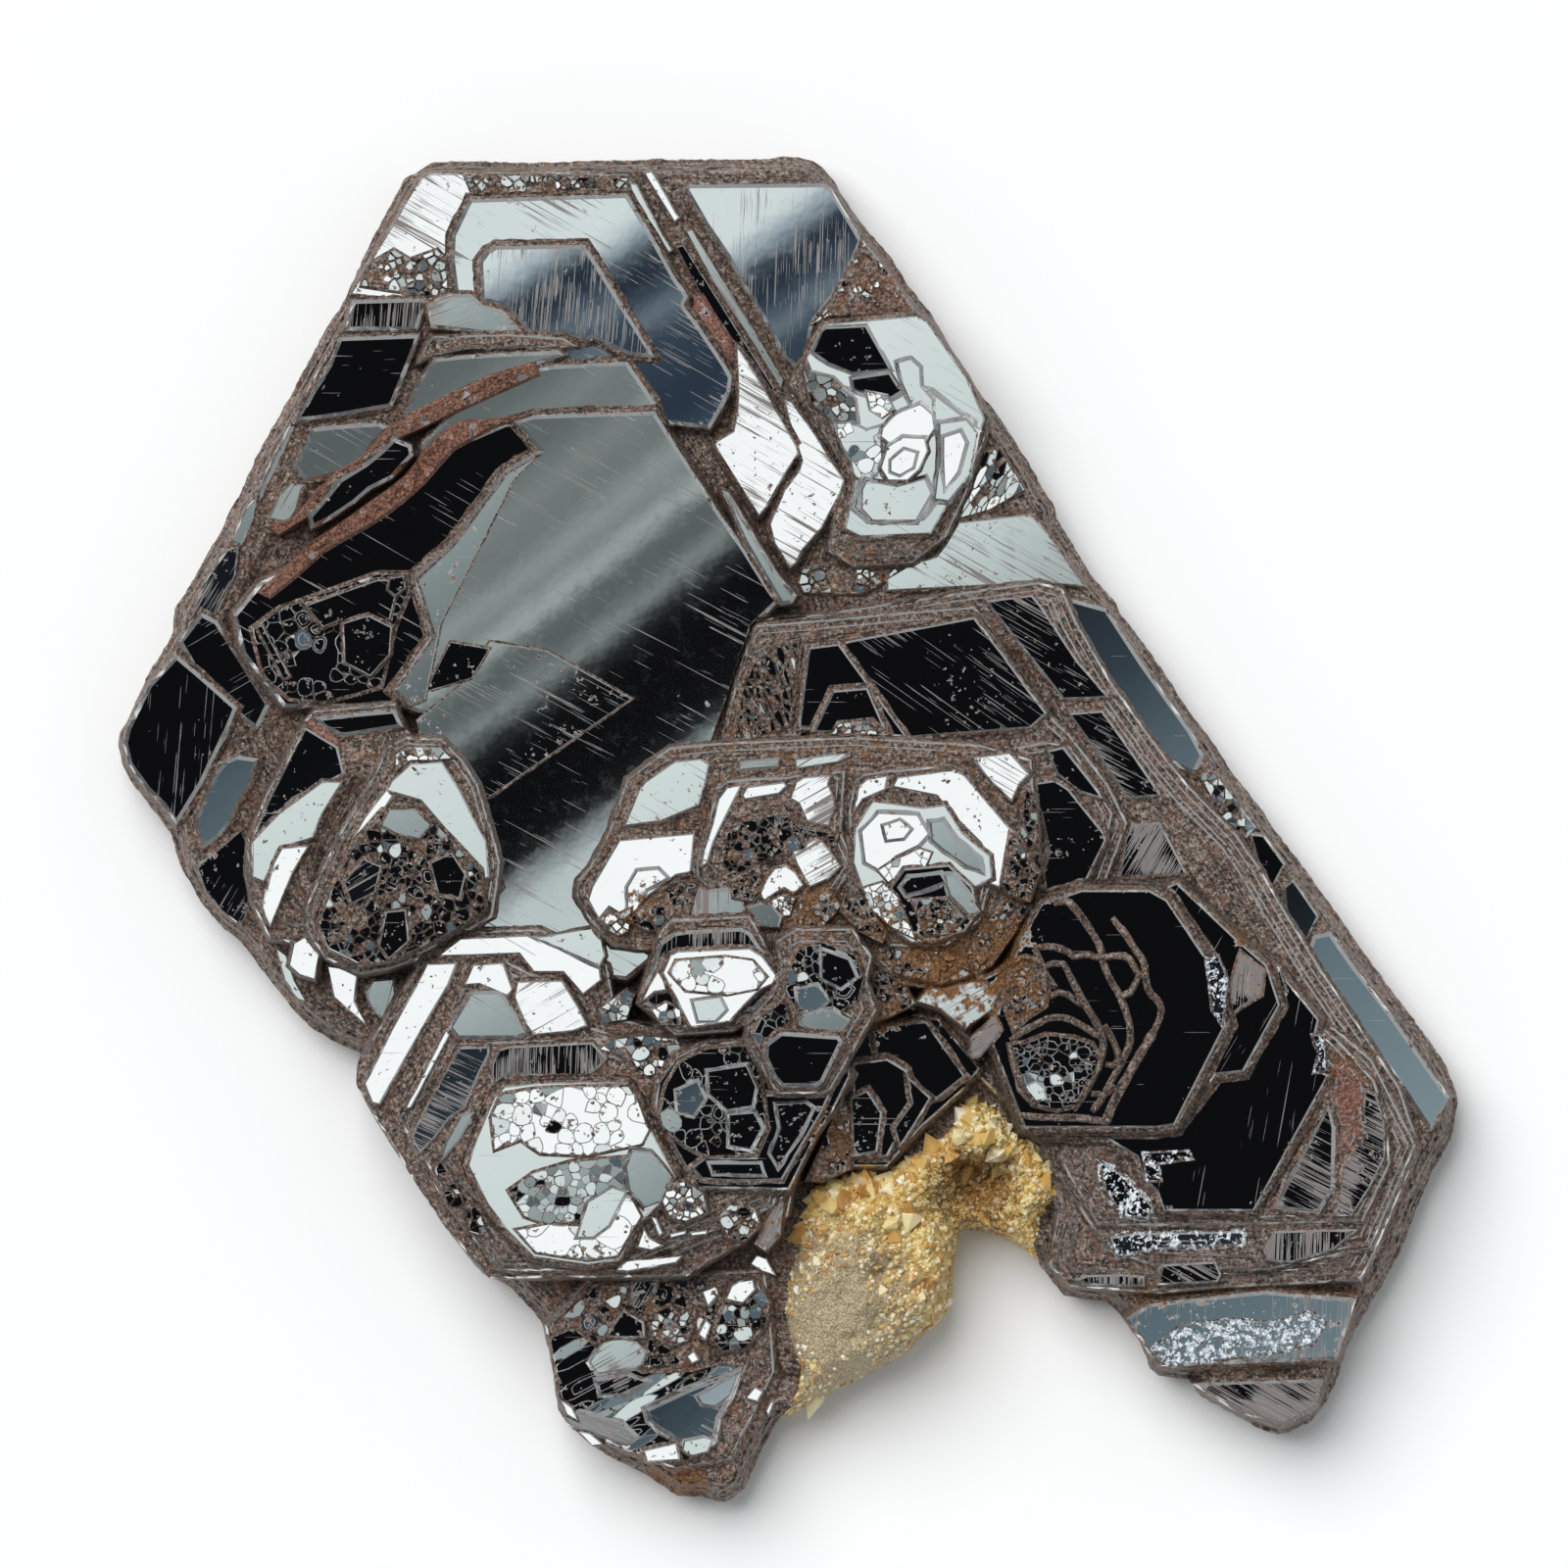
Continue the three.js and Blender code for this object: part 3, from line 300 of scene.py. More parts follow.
plate("M5b", "418,1162 438,1120 466,1070 470,1064 606,1059 690,1060 760,1075 805,1112 790,1230 640,1290 515,1290 455,1215", K, .14, 4.2, kind="wall")
plate("M5", "420,1160 440,1120 465,1075 470,1068 500,1067 500,1075 490,1095 475,1130 460,1140 445,1160 430,1175", 52, .06, 3, hatch=(-25, .6))
plate("M6", "500,1090 510,1070 520,1067 605,1063 613,1072 620,1080 610,1090 600,1098 560,1098 520,1095 505,1105", K, .08, 3, hatch=(88, .62))
plate("M7", "455,1165 470,1138 485,1133 480,1145 468,1165 455,1180 450,1185", G, .08, 3)
plate("M8", "440,1178 452,1186 470,1215 490,1235 500,1262 478,1255 456,1225", K, .08, 4, kind="rubble", flat=1, cell=8, mixed=.3, vary=9, gap=1.0, sparse=.25)
plate("Ww", "612,1070 625,1060 660,1056 690,1060 700,1075 680,1095 655,1098 645,1080 630,1075", PA, .06, 3, kind="rubble", flat=1, cell=8, mixed=.4, vary=9, gap=.7, sparse=.15)
plate("R8b", "478,1188 485,1165 505,1118 515,1108 550,1104 600,1103 640,1104 652,1120 664,1150 690,1200 677,1225 654,1245 632,1285 600,1290 545,1282 520,1257 498,1228", PA, .3, 9, kind="face")
plate("R8u", "512,1116 548,1110 600,1108 642,1108 652,1124 662,1152 655,1166 600,1178 552,1176 532,1162 506,1172 502,1140", W, .06, 3, kind="rubble", flat=1, ground=1, cell=15, mixed=0.08, vary=7, sparse=0.45)
plate("R8d", "520,1214 545,1196 585,1184 640,1180 648,1200 640,1222 604,1240 566,1250 536,1240", G, .05, 3, kind="rubble", flat=1, ground=1, cell=10, mixed=.45, vary=10, gap=.6, sparse=.2)
plate("R8g", "645,1172 664,1174 686,1200 674,1226 658,1232 642,1214 638,1190", G, .06, 3, bare=1)
plate("R8w", "528,1254 560,1248 590,1250 620,1230 642,1218 654,1240 630,1280 600,1284 548,1276", W, .07, 3, kind="rubble", flat=1, ground=1, cell=20, mixed=0.08, vary=6, sparse=0.45)
plate("R8x", "588,1262 600,1225 625,1210 640,1215 622,1250 606,1262", PA, .05, 2, bare=1)
plate("M9a", "628,1295 640,1285 697,1280 690,1288 640,1297", W, .06, 2)
plate("M9b", "650,1272 657,1252 663,1262 678,1270 665,1275", W, .06, 2)
plate("M9c", "664,1240 670,1242 677,1258 673,1261", W, .06, 2)
plate("M9d", "683,1258 700,1254 700,1259 684,1263", W, .05, 1.5)
plate("M9e", "704,1256 722,1254 722,1259 705,1261", W, .05, 1.5)
plate("M9f", "676,1225 682,1208 700,1204 718,1216 722,1236 700,1245 684,1242", W, .08, 4, kind="rubble", flat=1, cell=8, mixed=.5, vary=9, gap=1.0, sparse=.25)
plate("M9g", "732,1240 745,1228 770,1232 776,1250 760,1266 742,1262", PA, .08, 4, kind="rubble", flat=1, cell=8, mixed=.6, vary=9, gap=1.0, sparse=.25)
plate("M9h", "770,1268 790,1230 800,1226 796,1260 782,1276", 58, .06, 4, hatch=(65, .8))

# --- centre cluster
plate("V0", "735,758 870,752 1000,760 1052,775 1058,860 1045,920 1020,960 1000,1000 960,1010 880,1000 800,985 700,975 625,965 608,948 588,915 590,898 602,885 622,848 640,795 684,763", K, .3, 4.2, kind="wall", rust=.45, steps=1)
plate("V1a", "632,857 709,850 705,890 690,893 640,930 612,940 600,918 604,905", W, .12, 5)
plate("V1b", "640,905 650,888 672,886 682,896 660,908 648,934 640,930", W, .06, 2.5, bare=1)
plate("V1c", "612,938 622,926 632,932 645,926 642,950 632,955 618,948", W, .05, 2, kind="rubble", flat=1, cell=8, mixed=.15, vary=8, gap=.9, sparse=.2)
plate("V1u", "688,777 715,774 724,780 720,800 713,822 675,838 637,843 652,806 658,798", PA, .12, 5, hatch=(-30, .35))
plate("V2a", "755,777 797,773 794,783 752,787", G, .05, 2, hatch=(0, .5))
plate("V2b", "811,775 862,768 868,772 855,778 812,785", PA, .05, 2, hatch=(30, .8))
plate("Y1", "992,773 1030,768 1050,790 1040,800 1032,818 1008,795", W, .14, 4, hatch=(-30, .4))
plate("R3b", "731,805 742,797 757,795 803,793 812,791 862,786 858,850 872,882 852,912 830,932 800,948 750,922 712,897 710,880 723,842", K, .2, 4.2, kind="wall", steps=1)
plate("R3w1", "757,812 762,803 800,798 803,802 795,810 760,816", W, .06, 2)
plate("R3w2", "733,815 742,803 757,801 750,815 735,845 728,860 722,880 716,885 718,868 727,840", W, .06, 2)
plate("R3w3", "806,815 812,798 820,793 848,791 845,800 850,812 852,822 845,843 830,840 823,838 815,820", W, .08, 3, hatch=(30, .8))
plate("R3d", "738,880 742,850 758,838 800,830 824,848 822,868 795,872 775,880 762,895 745,892", K, 0.1, 4, kind="rubble", flat=1, cell=8, mixed=0.16, vary=7, gap=0.9, sparse=0.2)
plate("R3w4", "808,868 820,866 826,856 838,857 850,872 858,884 845,897 826,905 820,895 812,880", W, .08, 3, hatch=(30, .6))
plate("R3o", "783,895 790,886 802,883 812,890 820,903 810,912 800,906 790,912 779,920 775,910", W, .12, 3)
plate("R3s", "780,922 800,912 812,916 806,934 790,936", W, .04, 2, kind="rubble", flat=1, cell=7, mixed=.2, vary=8, gap=.7, sparse=.2)
plate("R3t", "815,915 850,908 858,925 840,945 815,945", 40, .05, 3, kind="rubble", flat=1, cell=8, mixed=.3, vary=8, gap=.9, sparse=.2)
plate("G1", "700,908 755,905 762,935 705,937", G, .05, 4, hatch=(90, .9))
plate("G2", "762,925 785,918 798,935 795,946 772,945", -24, .04, 3)
plate("R4b", "866,830 871,799 880,790 908,786 974,781 986,788 1049,864 1020,908 1008,908 1000,938 965,965 908,965 866,908 870,880", K, .3, 4.2, kind="wall", steps=1)
plate("R4l", "870,830 876,802 884,795 906,791 903,806 880,816", W, .08, 3)
plate("R4w", "910,803 915,793 974,785 984,791 1046,864 1019,905 1009,902 1013,885 1000,860 978,838 955,812", W, .1, 4)
plate("R4in", "872,845 890,817 913,820 941,824 964,821 982,850 1010,873 1012,896 995,905 985,935 962,958 930,962 905,944 880,908 870,880", PA, .12, 4)
plate("R4n", "878,848 896,829 936,831 948,851 937,863 914,874 898,889 882,880", W, .06, 3, bare=1)
plate("R4p", "900,842 918,836 930,846 922,856 904,858", W, .04, 2, bare=1)
plate("R4g", "948,838 962,836 976,856 1000,876 1002,890 985,884 962,868 950,858", G, .06, 3, bare=1)
plate("R4o", "896,888 914,876 938,866 950,870 944,884 920,890 906,900", W, .06, 2, kind="rubble", flat=1, ground=1, cell=9, mixed=0.15, vary=8, sparse=0.35)
plate("R4k0", "908,905 922,886 968,882 992,905 998,930 984,950 950,962 920,945", K, .08, 3)
plate("R4k1", "918,905 926,894 960,890 966,900 940,910 924,914", 34, .06, 2.5, bare=1)
plate("R4k2", "962,892 974,892 1000,930 990,936 968,914", G, .06, 2.5, bare=1)
plate("R4k3", "930,918 965,916 985,936 968,952 945,955", K, .05, 2, kind="rubble", flat=1, cell=8, mixed=.3, vary=8, gap=.9, sparse=.2)
plate("R4s", "880,906 900,900 915,914 925,938 934,958 908,945 886,925", W, .05, 2, kind="rubble", flat=1, ground=1, cell=9, mixed=.1, vary=8, gap=.6, sparse=.25)
plate("R4y", "1030,850 1048,870 1060,890 1050,920 1028,912 1022,900", K, 0.04, 3, kind="rubble", flat=1, cell=8, mixed=0.1, vary=7, gap=1.0, sparse=0.25)
plate("V0n1", "640,938 690,899 710,902 702,936 690,950 660,950", K, .05, 3, kind="rubble", flat=1, cell=8, mixed=.1, vary=7, gap=1.2, sparse=.45)
plate("V0n2", "1046,806 1057,812 1060,858 1060,880 1050,868 1040,850", K, .05, 3, kind="rubble", flat=1, cell=7, mixed=.08, vary=7, gap=1.1, sparse=.35)
plate("V0n3", "1000,944 1026,918 1050,925 1036,950 1012,985 1000,992 985,975", K, .05, 3, kind="rubble", flat=1, cell=8, mixed=.08, vary=7, gap=1.3, sparse=.4, rust=.5)
plate("V0n4", "896,966 930,970 968,970 985,980 992,995 960,1004 905,992 890,980", K, .05, 3, kind="rubble", flat=1, cell=8, mixed=.15, vary=9, gap=1.4, sparse=.35, rust=.5)
plate("V0n5", "862,912 880,915 905,950 900,962 876,950 858,930", K, .04, 2, kind="rubble", flat=1, cell=7, mixed=.15, vary=7, gap=1.2, sparse=.4, rust=.4)
plate("V0n6", "820,846 856,850 852,864 836,854 826,850", K, .03, 2, kind="rubble", flat=1, cell=6, mixed=.1, vary=7, gap=1.0, sparse=.4)
plate("V0n7", "745,896 775,884 778,905 770,920 748,916", K, .03, 2, kind="rubble", flat=1, cell=7, mixed=.2, vary=7, gap=1.1, sparse=.35)

plate("R5b", "650,1024 674,952 685,938 765,934 803,1000 770,1040 748,1052 690,1056", K, .35, 4.2, kind="wall")
plate("R5k", "652,1022 674,961 688,951 700,949 757,946 766,951 799,1000 770,1030 700,1040", K, .12, 4, hatch=(88, .6))
plate("R5l", "655,1022 678,975 684,1003 680,1010 668,1012", W, .1, 3)
plate("R5", "676,992 684,974 692,970 765,967 778,975 797,1000 775,1010 760,1025 745,1042 728,1045 705,1048 698,1035 690,1018 683,1006", W, .14, 4)
plate("R5c", "684,992 690,980 740,976 768,980 782,996 772,1008 742,1014 700,1010", W, .06, 2.5, kind="rubble", flat=1, ground=1, cell=17, mixed=0.06, vary=10, sparse=0.45)
plate("R5d", "706,1020 735,1016 742,1030 730,1042 712,1042", PA, .05, 2, bare=1)
plate("R5e", "665,1030 680,1022 695,1030 695,1045 675,1045", W, .04, 2, kind="rubble", flat=1, cell=8, mixed=.3, vary=8, gap=.8, sparse=.2)
plate("R5f", "610,1030 640,1008 648,1015 640,1040 615,1044", PA, .04, 2, kind="rubble", flat=1, cell=9, mixed=.3, vary=8, gap=.8, sparse=.25)
plate("R7b", "668,1135 672,1104 690,1078 720,1064 772,1060 850,1070 868,1096 852,1128 828,1168 805,1213 713,1211 701,1192 686,1165", K, .28, 7, rim=2.0)
plate("R7k", "772,1116 812,1116 848,1112 838,1135 818,1168 798,1203 770,1204 740,1204 716,1202 706,1190 720,1180 772,1180 785,1150 776,1130", K, .12, 4, rim=2.0)
plate("R7m", "792,1126 822,1124 830,1130 816,1158 794,1190 786,1176 796,1150", K, .06, 3, rim=1.2, bare=1)
plate("R7n", "724,1186 776,1186 780,1198 728,1197", 40, .05, 2.5, rim=1.2, bare=1)
plate("R7c", "676,1148 674,1135 680,1108 694,1084 722,1070 768,1066 776,1100 782,1150 770,1176 720,1178 700,1168", K, .1, 4, kind="rubble", flat=1, ground=1, cell=13, mixed=.06, vary=7, gap=.7, sparse=.35)
plate("R7d", "722,1092 762,1086 772,1108 768,1128 742,1132 724,1116", K, .06, 3, rim=1.2, bare=1)
plate("R7e", "744,1136 770,1134 778,1150 766,1172 744,1168", K, .06, 3, rim=1.2, bare=1)
plate("R7f", "690,1112 712,1102 720,1120 708,1138 692,1134", 56, .05, 2.5, rim=1.2, bare=1)
plate("V0n8", "896,990 925,1006 935,1024 905,1038 888,1042 886,1010", K, .05, 3, kind="rubble", flat=1, cell=8, mixed=.1, vary=7, gap=1.3, sparse=.45, rust=.5)
plate("R6b", "792,960 812,947 870,947 889,975 884,1000 894,1030 873,1067 848,1110 840,1115 793,1115 760,1060 762,1043 788,1013 797,990", K, .35, 4.2, kind="wall")
plate("R6c", "804,992 815,968 840,962 872,975 880,998 874,1020 850,1036 815,1032 802,1010", K, .1, 4, kind="rubble", flat=1, ground=1, cell=10, mixed=.12, vary=7, gap=.7, sparse=.3)
plate("R6d", "838,968 866,978 874,996 858,1008 838,998", K, .05, 2.5, rim=1.2, bare=1)
plate("R6e", "812,1008 834,1004 846,1020 832,1032 814,1026", 58, .05, 2.5, rim=1.2, bare=1)
plate("R6l", "768,1056 778,1036 800,1020 806,1040 790,1056 780,1076", 46, .08, 3, kind="rubble", flat=1, ground=1, cell=11, mixed=.15, vary=8, gap=.7, sparse=.3)
plate("R6g", "818,1034 850,1029 868,1040 858,1052 830,1053 815,1045", -26, .08, 3, bare=1)
plate("R6k", "781,1064 797,1052 856,1056 860,1062 840,1103 833,1108 798,1108 789,1098 780,1078", K, .14, 5)

# ---------------------------------------------------------------- rust stains
# centre x, y, radius, strength
STAINS = [(960, 985, 55, 1.2), (1010, 960, 50, .9), (760, 720, 40, .45), (780, 760, 30, .5), (860, 600, 40, .4),
          (700, 920, 45, .5), (770, 890, 35, .5), (1045, 1010, 25, .9), (1035, 950, 25, .9), (560, 185, 70, .4),
          (850, 1150, 45, .6), (830, 1210, 30, .6), (960, 765, 60, .35), (1370, 1090, 30, .9), (1265, 955, 14, 1.0),
          (1180, 1330, 50, .6), (380, 760, 40, .4), (250, 870, 50, .4), (240, 740, 40, .25), (650, 1330, 60, .5),
          (600, 1310, 60, .5), (440, 740, 40, .5), (900, 290, 40, .7), (720, 420, 35, .5), (480, 310, 35, .5),
          (340, 500, 90, .25), (540, 190, 60, .45), (640, 935, 40, .7), (650, 890, 30, .4), (735, 715, 35, .5), (905, 935, 40, .8), (1040, 905, 35, .6), (880, 575, 40, .5), (1250, 900, 40, .25), (700, 1400, 40, .4), (1110, 1010, 22, .5),
          (830, 928, 45, .8), (985, 1002, 60, 1.0), (850, 1165, 40, .9), (1030, 985, 35, 1.0), (702, 1514, 20, 1.7), (672, 1506, 14, 1.4), (760, 748, 28, .7), (645, 922, 36, .85),
          (905, 1040, 36, .8), (780, 1255, 40, .6), (740, 1275, 40, .5), (1000, 1030, 36, .8)]

# ================================================================ mesh work
rng = random.Random(7)


def inside(poly, p):
    a, b = poly, np.roll(poly, -1, 0)
    res = np.zeros(len(p), bool)
    step = max(1, 400000 // len(poly))
    dy = np.where(b[:, 1] == a[:, 1], 1e-12, b[:, 1] - a[:, 1])
    for s in range(0, len(p), step):
        x, y = p[s:s + step, 0, None], p[s:s + step, 1, None]
        c = (a[None, :, 1] > y) != (b[None, :, 1] > y)
        xi = (b[:, 0] - a[:, 0])[None] * (y - a[None, :, 1]) / dy[None] + a[None, :, 0]
        res[s:s + step] = ((c & (x < xi)).sum(1) & 1) == 1
    return res


def seg_dist(poly, p, closed=True):
    a = poly
    b = np.roll(poly, -1, 0)
    if not closed:
        a, b = poly[:-1], poly[1:]
    e = b - a
    n = np.maximum(1e-9, (e * e).sum(1))
    best = np.empty(len(p))
    step = max(1, 400000 // len(a))
    for s in range(0, len(p), step):
        px, py = p[s:s + step, 0, None] - a[None, :, 0], p[s:s + step, 1, None] - a[None, :, 1]
        t = np.clip((px * e[:, 0] + py * e[:, 1]) / n, 0, 1)
        px -= t * e[:, 0]
        py -= t * e[:, 1]
        best[s:s + step] = (px * px + py * py).min(1)
    return np.sqrt(best)


def signed(poly, p):
    d = seg_dist(poly, p)
    return np.where(inside(poly, p), -d, d)


def area(poly):
    x, y = poly[:, 0], poly[:, 1]
    return 0.5 * float((x * np.roll(y, -1) - np.roll(x, -1) * y).sum())


def centroid(poly):
    a = area(poly)
    if abs(a) < 1e-6:
        return poly.mean(0)
    x, y = poly[:, 0], poly[:, 1]
    x1, y1 = np.roll(x, -1), np.roll(y, -1)
    c = x * y1 - x1 * y
    return np.array([((x + x1) * c).sum(), ((y + y1) * c).sum()]) / (6 * a)


def dense(poly, step, wob=0.0, r=None):
    out = []
    n = len(poly)
    for i in range(n):
        a, b = poly[i], poly[(i + 1) % n]
        k = max(1, int(round(np.linalg.norm(b - a) / step)))
        e = (b - a) / max(1e-9, np.linalg.norm(b - a))
        nx = np.array([-e[1], e[0]])
        for j in range(k):
            q = a + (b - a) * j / k
            if wob and j:
                q = q + nx * r.uniform(-wob, wob)
            out.append(q)
    return np.array(out)


def offset(poly, d):
    s = 1.0 if area(poly) > 0 else -1.0
    e = np.roll(poly, -1, 0) - poly
    e /= np.maximum(1e-9, np.linalg.norm(e, axis=1))[:, None]
    n = np.stack([e[:, 1], -e[:, 0]], 1) * s
    m = n + np.roll(n, 1, 0)
    l = np.linalg.norm(m, axis=1)
    m = m / np.maximum(1e-6, l)[:, None]
    k = np.clip(1.0 / np.maximum(0.45, (m * n).sum(1)), 1.0, 1.8)
    return poly + m * (k * d)[:, None]


def clip_half(poly, m, n):
    out = []
    k = len(poly)
    for i in range(k):
        a, b = poly[i], poly[(i + 1) % k]
        da, db = (a - m) @ n, (b - m) @ n
        if da <= 0:
            out.append(a)
        if (da < 0) != (db < 0) and abs(da - db) > 1e-12:
            out.append(a + (b - a) * (da / (da - db)))
    return np.array(out) if len(out) >= 3 else None


def chaikin(poly, n=1):
    for _ in range(n):
        q = np.roll(poly, -1, 0)
        poly = np.stack([poly * .75 + q * .25, poly * .25 + q * .75], 1).reshape(-1, 2)
    return poly


def cells_of(poly, size, r):
    """Rounded cells that fill an outline, of mixed size."""
    lo, hi = poly.min(0), poly.max(0)
    tries = int(min(3000, 60 + 14 * abs(area(poly)) / size ** 2))
    cand = np.array([(r.uniform(lo[0], hi[0]), r.uniform(lo[1], hi[1]), size * (0.55 + 0.9 * r.random() ** 2)) for _ in range(tries)])
    cand = cand[inside(poly, cand[:, :2])]
    sp_, sr_ = np.zeros((len(cand), 2)), np.zeros(len(cand))
    ns = 0
    for x, y, rad in cand:
        if ns and (((sp_[:ns, 0] - x) ** 2 + (sp_[:ns, 1] - y) ** 2) < (0.5 * (rad + sr_[:ns])) ** 2).any():
            continue
        sp_[ns], sr_[ns] = (x, y), rad
        ns += 1
    seeds = [(sp_[i].copy(), float(sr_[i])) for i in range(ns)]
    out = []
    for i, (q, rad) in enumerate(seeds):
        c = poly.copy()
        dd = np.sqrt(((sp_[:ns] - q) ** 2).sum(1))
        near = np.nonzero(dd < 2.6 * (rad + sr_[:ns]))[0]
        for j in near[np.argsort(dd[near])]:
            if i == j:
                continue
            o, ro = seeds[j]
            f = 0.5 + 0.5 * (rad - ro) / (rad + ro)
            m = q + (o - q) * f
            c2 = clip_half(c, m, (o - q))
            if c2 is None:
                c = None
                break
            c = c2
        if c is None or abs(area(c)) < 8:
            continue
        # a convex piece may still reach past a bay of the outline
        out.append((q, rad, c))
    return out


# Expand rosettes into platelets; keep everything in one painted list
LIST = []
for d in PLATES:
    d = dict(d)
    if area(d["pts"]) < 0:
        d["pts"] = d["pts"][::-1].copy()
    LIST.append(d)
    if d["kind"] == "wall" and d["w"] > 4 and area(d["pts"]) > 6000:
        r = random.Random(len(LIST))
        off = 0.0
        for _ in range(d.get("steps", 3)):
            off += r.uniform(4.5, 9.0)
            ip = offset(d["pts"], -off)
            if area(ip) < 3000:
                break
            LIST.append(dict(name=d["name"] + "_t", pts=ip, t=d["t"], step=r.uniform(.03, .08), w=2.4, kind="wall", rim=r.choice((0, 1.2, 1.5)),
                             rust=d.get("rust", 0), red=d.get("red", 0)))
    if d["kind"] == "cells":
        r = random.Random(sum(ord(c) * (i + 1) for i, c in enumerate(d["name"])))
        base_t = d["t"]
        size = d["cell"]
        lo, hi = d["pts"].min(0), d["pts"].max(0)
        size = size * d.get("big", 1.55)
        n_try = int(d.get("many", 3.0) * area(d["pts"]) / (size * size))
        cand = np.array([(r.uniform(lo[0], hi[0]), r.uniform(lo[1], hi[1])) for _ in range(n_try * 3)])
        cand = cand[inside(offset(d["pts"], -min(6, size * .3)), cand)][:n_try]
        turn = d.get("turn", r.uniform(0, 1.05))
        for qi, q in enumerate(cand):
            f = 1.0 - 0.55 * qi / max(1, len(cand))
            rad = size * f * (0.34 + 0.46 * r.random() ** 1.3)
            nv = r.choice((6, 6, 6, 5, 7))
            el_ = r.uniform(.6, 1.0)
            el_a = r.choice((0, 1.05, 2.1)) + r.gauss(0, .1)
            an0 = r.gauss(0, .10)
            c = []
            for a_ in range(nv):
                an = an0 + 6.2832 * a_ / nv
                rr_ = rad * r.uniform(.70, 1.18)
                v_ = np.array([math.cos(an) * rr_, math.sin(an) * rr_])
                u_ = np.array([math.cos(el_a), math.sin(el_a)])
                v_ = v_ - u_ * (v_ @ u_) * (1 - el_)
                c.append(q + v_)
            c = np.array(c)
            cc_ = c.mean(0)
            c = chaikin(c, 1) if r.random() < .75 else c
            if area(c) < 0:
                c = c[::-1].copy()
            u = r.random()
            tone, kd = base_t + r.gauss(0, d.get("vary", 6)), "face"
            if u < d.get("hollow", .12):
                tone, kd = K + r.uniform(-8, 10), ("wall" if r.random() < .35 else "face")
            elif u < d.get("hollow", .12) + d.get("mixed", .15):
                tone = r.choice((PA, G, W, 52, 60))
            sc_ = dict(name=d["name"] + "_c", pts=c, t=tone, step=0.010 + 0.045 * r.random(), w=1.3, kind=kd,
                       rim=1.2 if rad > 13 else 0, parent=d["name"], rust=d.get("rust", 0), bare=r.random() < .8)
            LIST.append(sc_)
            if rad > 8 and r.random() < .45:
                # a smaller growth step on the same platelet
                m_ = cc_ + np.array([r.uniform(-.15, .15), r.uniform(-.15, .15)]) * rad
                LIST.append(dict(sc_, pts=m_ + (c - cc_) * r.uniform(.5, .75), t=tone + r.gauss(0, 4), step=.012 + .02 * r.random(), rim=0, w=1.1))
    elif d["kind"] == "rubble":
        r = random.Random(sum(ord(c) * (i + 3) for i, c in enumerate(d["name"])))
        sa_, sf_ = d.get("stretch", (0, 1.0))
        ca_, sn_ = math.cos(math.radians(sa_)), math.sin(math.radians(sa_))
        to = np.array([[ca_ / sf_, -sn_ * sf_], [sn_ / sf_, ca_ * sf_]])
        fro = np.linalg.inv(to)
        for q, rad, c in cells_of(d["pts"] @ to, d["cell"], r):
            c = c @ fro
            if area(c) < 0:
                c = c[::-1].copy()
            if area(c) < 6:
                continue
            if d.get("flat"):
                c = offset(c, -d.get("gap", .55))
                if area(c) < 8 or r.random() < d.get("sparse", 0):
                    continue
                u = r.random()
                tone = d["t"] + r.gauss(0, d.get("vary", 6))
                if u < d.get("mixed", .1):
                    tone = r.choice((PA, G, K, 58))
                cc = chaikin(c, 1) if area(c) > 70 else c
                LIST.append(dict(name=d["name"] + "_c", pts=cc, t=tone, step=.02 + .09 * r.random(), w=1.1, kind="face", rim=0,
                                 parent=d["name"], bare=r.random() < (.88 if d.get("ground") else .4)))
                if area(c) > 160 and tone > 0 and r.random() < .5:
                    m_ = centroid(c)
                    LIST.append(dict(name=d["name"] + "_c", pts=m_ + (chaikin(c, 1) - m_) * r.uniform(.45, .7), t=tone + r.gauss(0, 4),
                                     step=.015 + .03 * r.random(), w=1.0, kind="face", rim=0, parent=d["name"], bare=True))
                continue
            a = d.get("amp", .1)
            tl = d.get("tilt", .12)
            LIST.append(dict(name=d["name"] + "_r", pts=offset(c, -.25), t=d["t"], step=-0.02 + a * r.random(), w=1.0,
                             kind="wall" if r.random() < d.get("brown", .45 + .25 * min(1, d.get("rust", 0))) else "face", rim=0,
                             rust=d.get("rust", 0), red=d.get("red", 0), parent=d["name"],
                             extra=(r.gauss(0, tl), r.gauss(0, tl)), tj=r.gauss(0, 15), bare=r.random() < .5,
                             tar=d.get("tar", .35) * r.uniform(.5, 1.4)))

BASE_Z, EQ_Z, RAMP = 3.4, 1.7, 17.0
OUT = np.vstack([EDGE, SEAM, EDGE2])
if area(OUT) < 0:
    OUTN = OUT[::-1].copy()
else:
    OUTN = OUT
OPEN_EDGE = np.vstack([EDGE2, EDGE])


def base_z(p):
    d = seg_dist(OPEN_EDGE, p, closed=False)
    k = np.clip(d / RAMP, 0, 1)
    stair = k + 0.10 * np.sin(k * math.pi * 6) * (k < 1)
    return EQ_Z + (BASE_Z - EQ_Z) * np.clip(stair, 0, 1), d


def plane(d, p):
    q = (p - d["c"]) * U
    return d["z"] + q[:, 0] * d["g"][0] - q[:, 1] * d["g"][1]


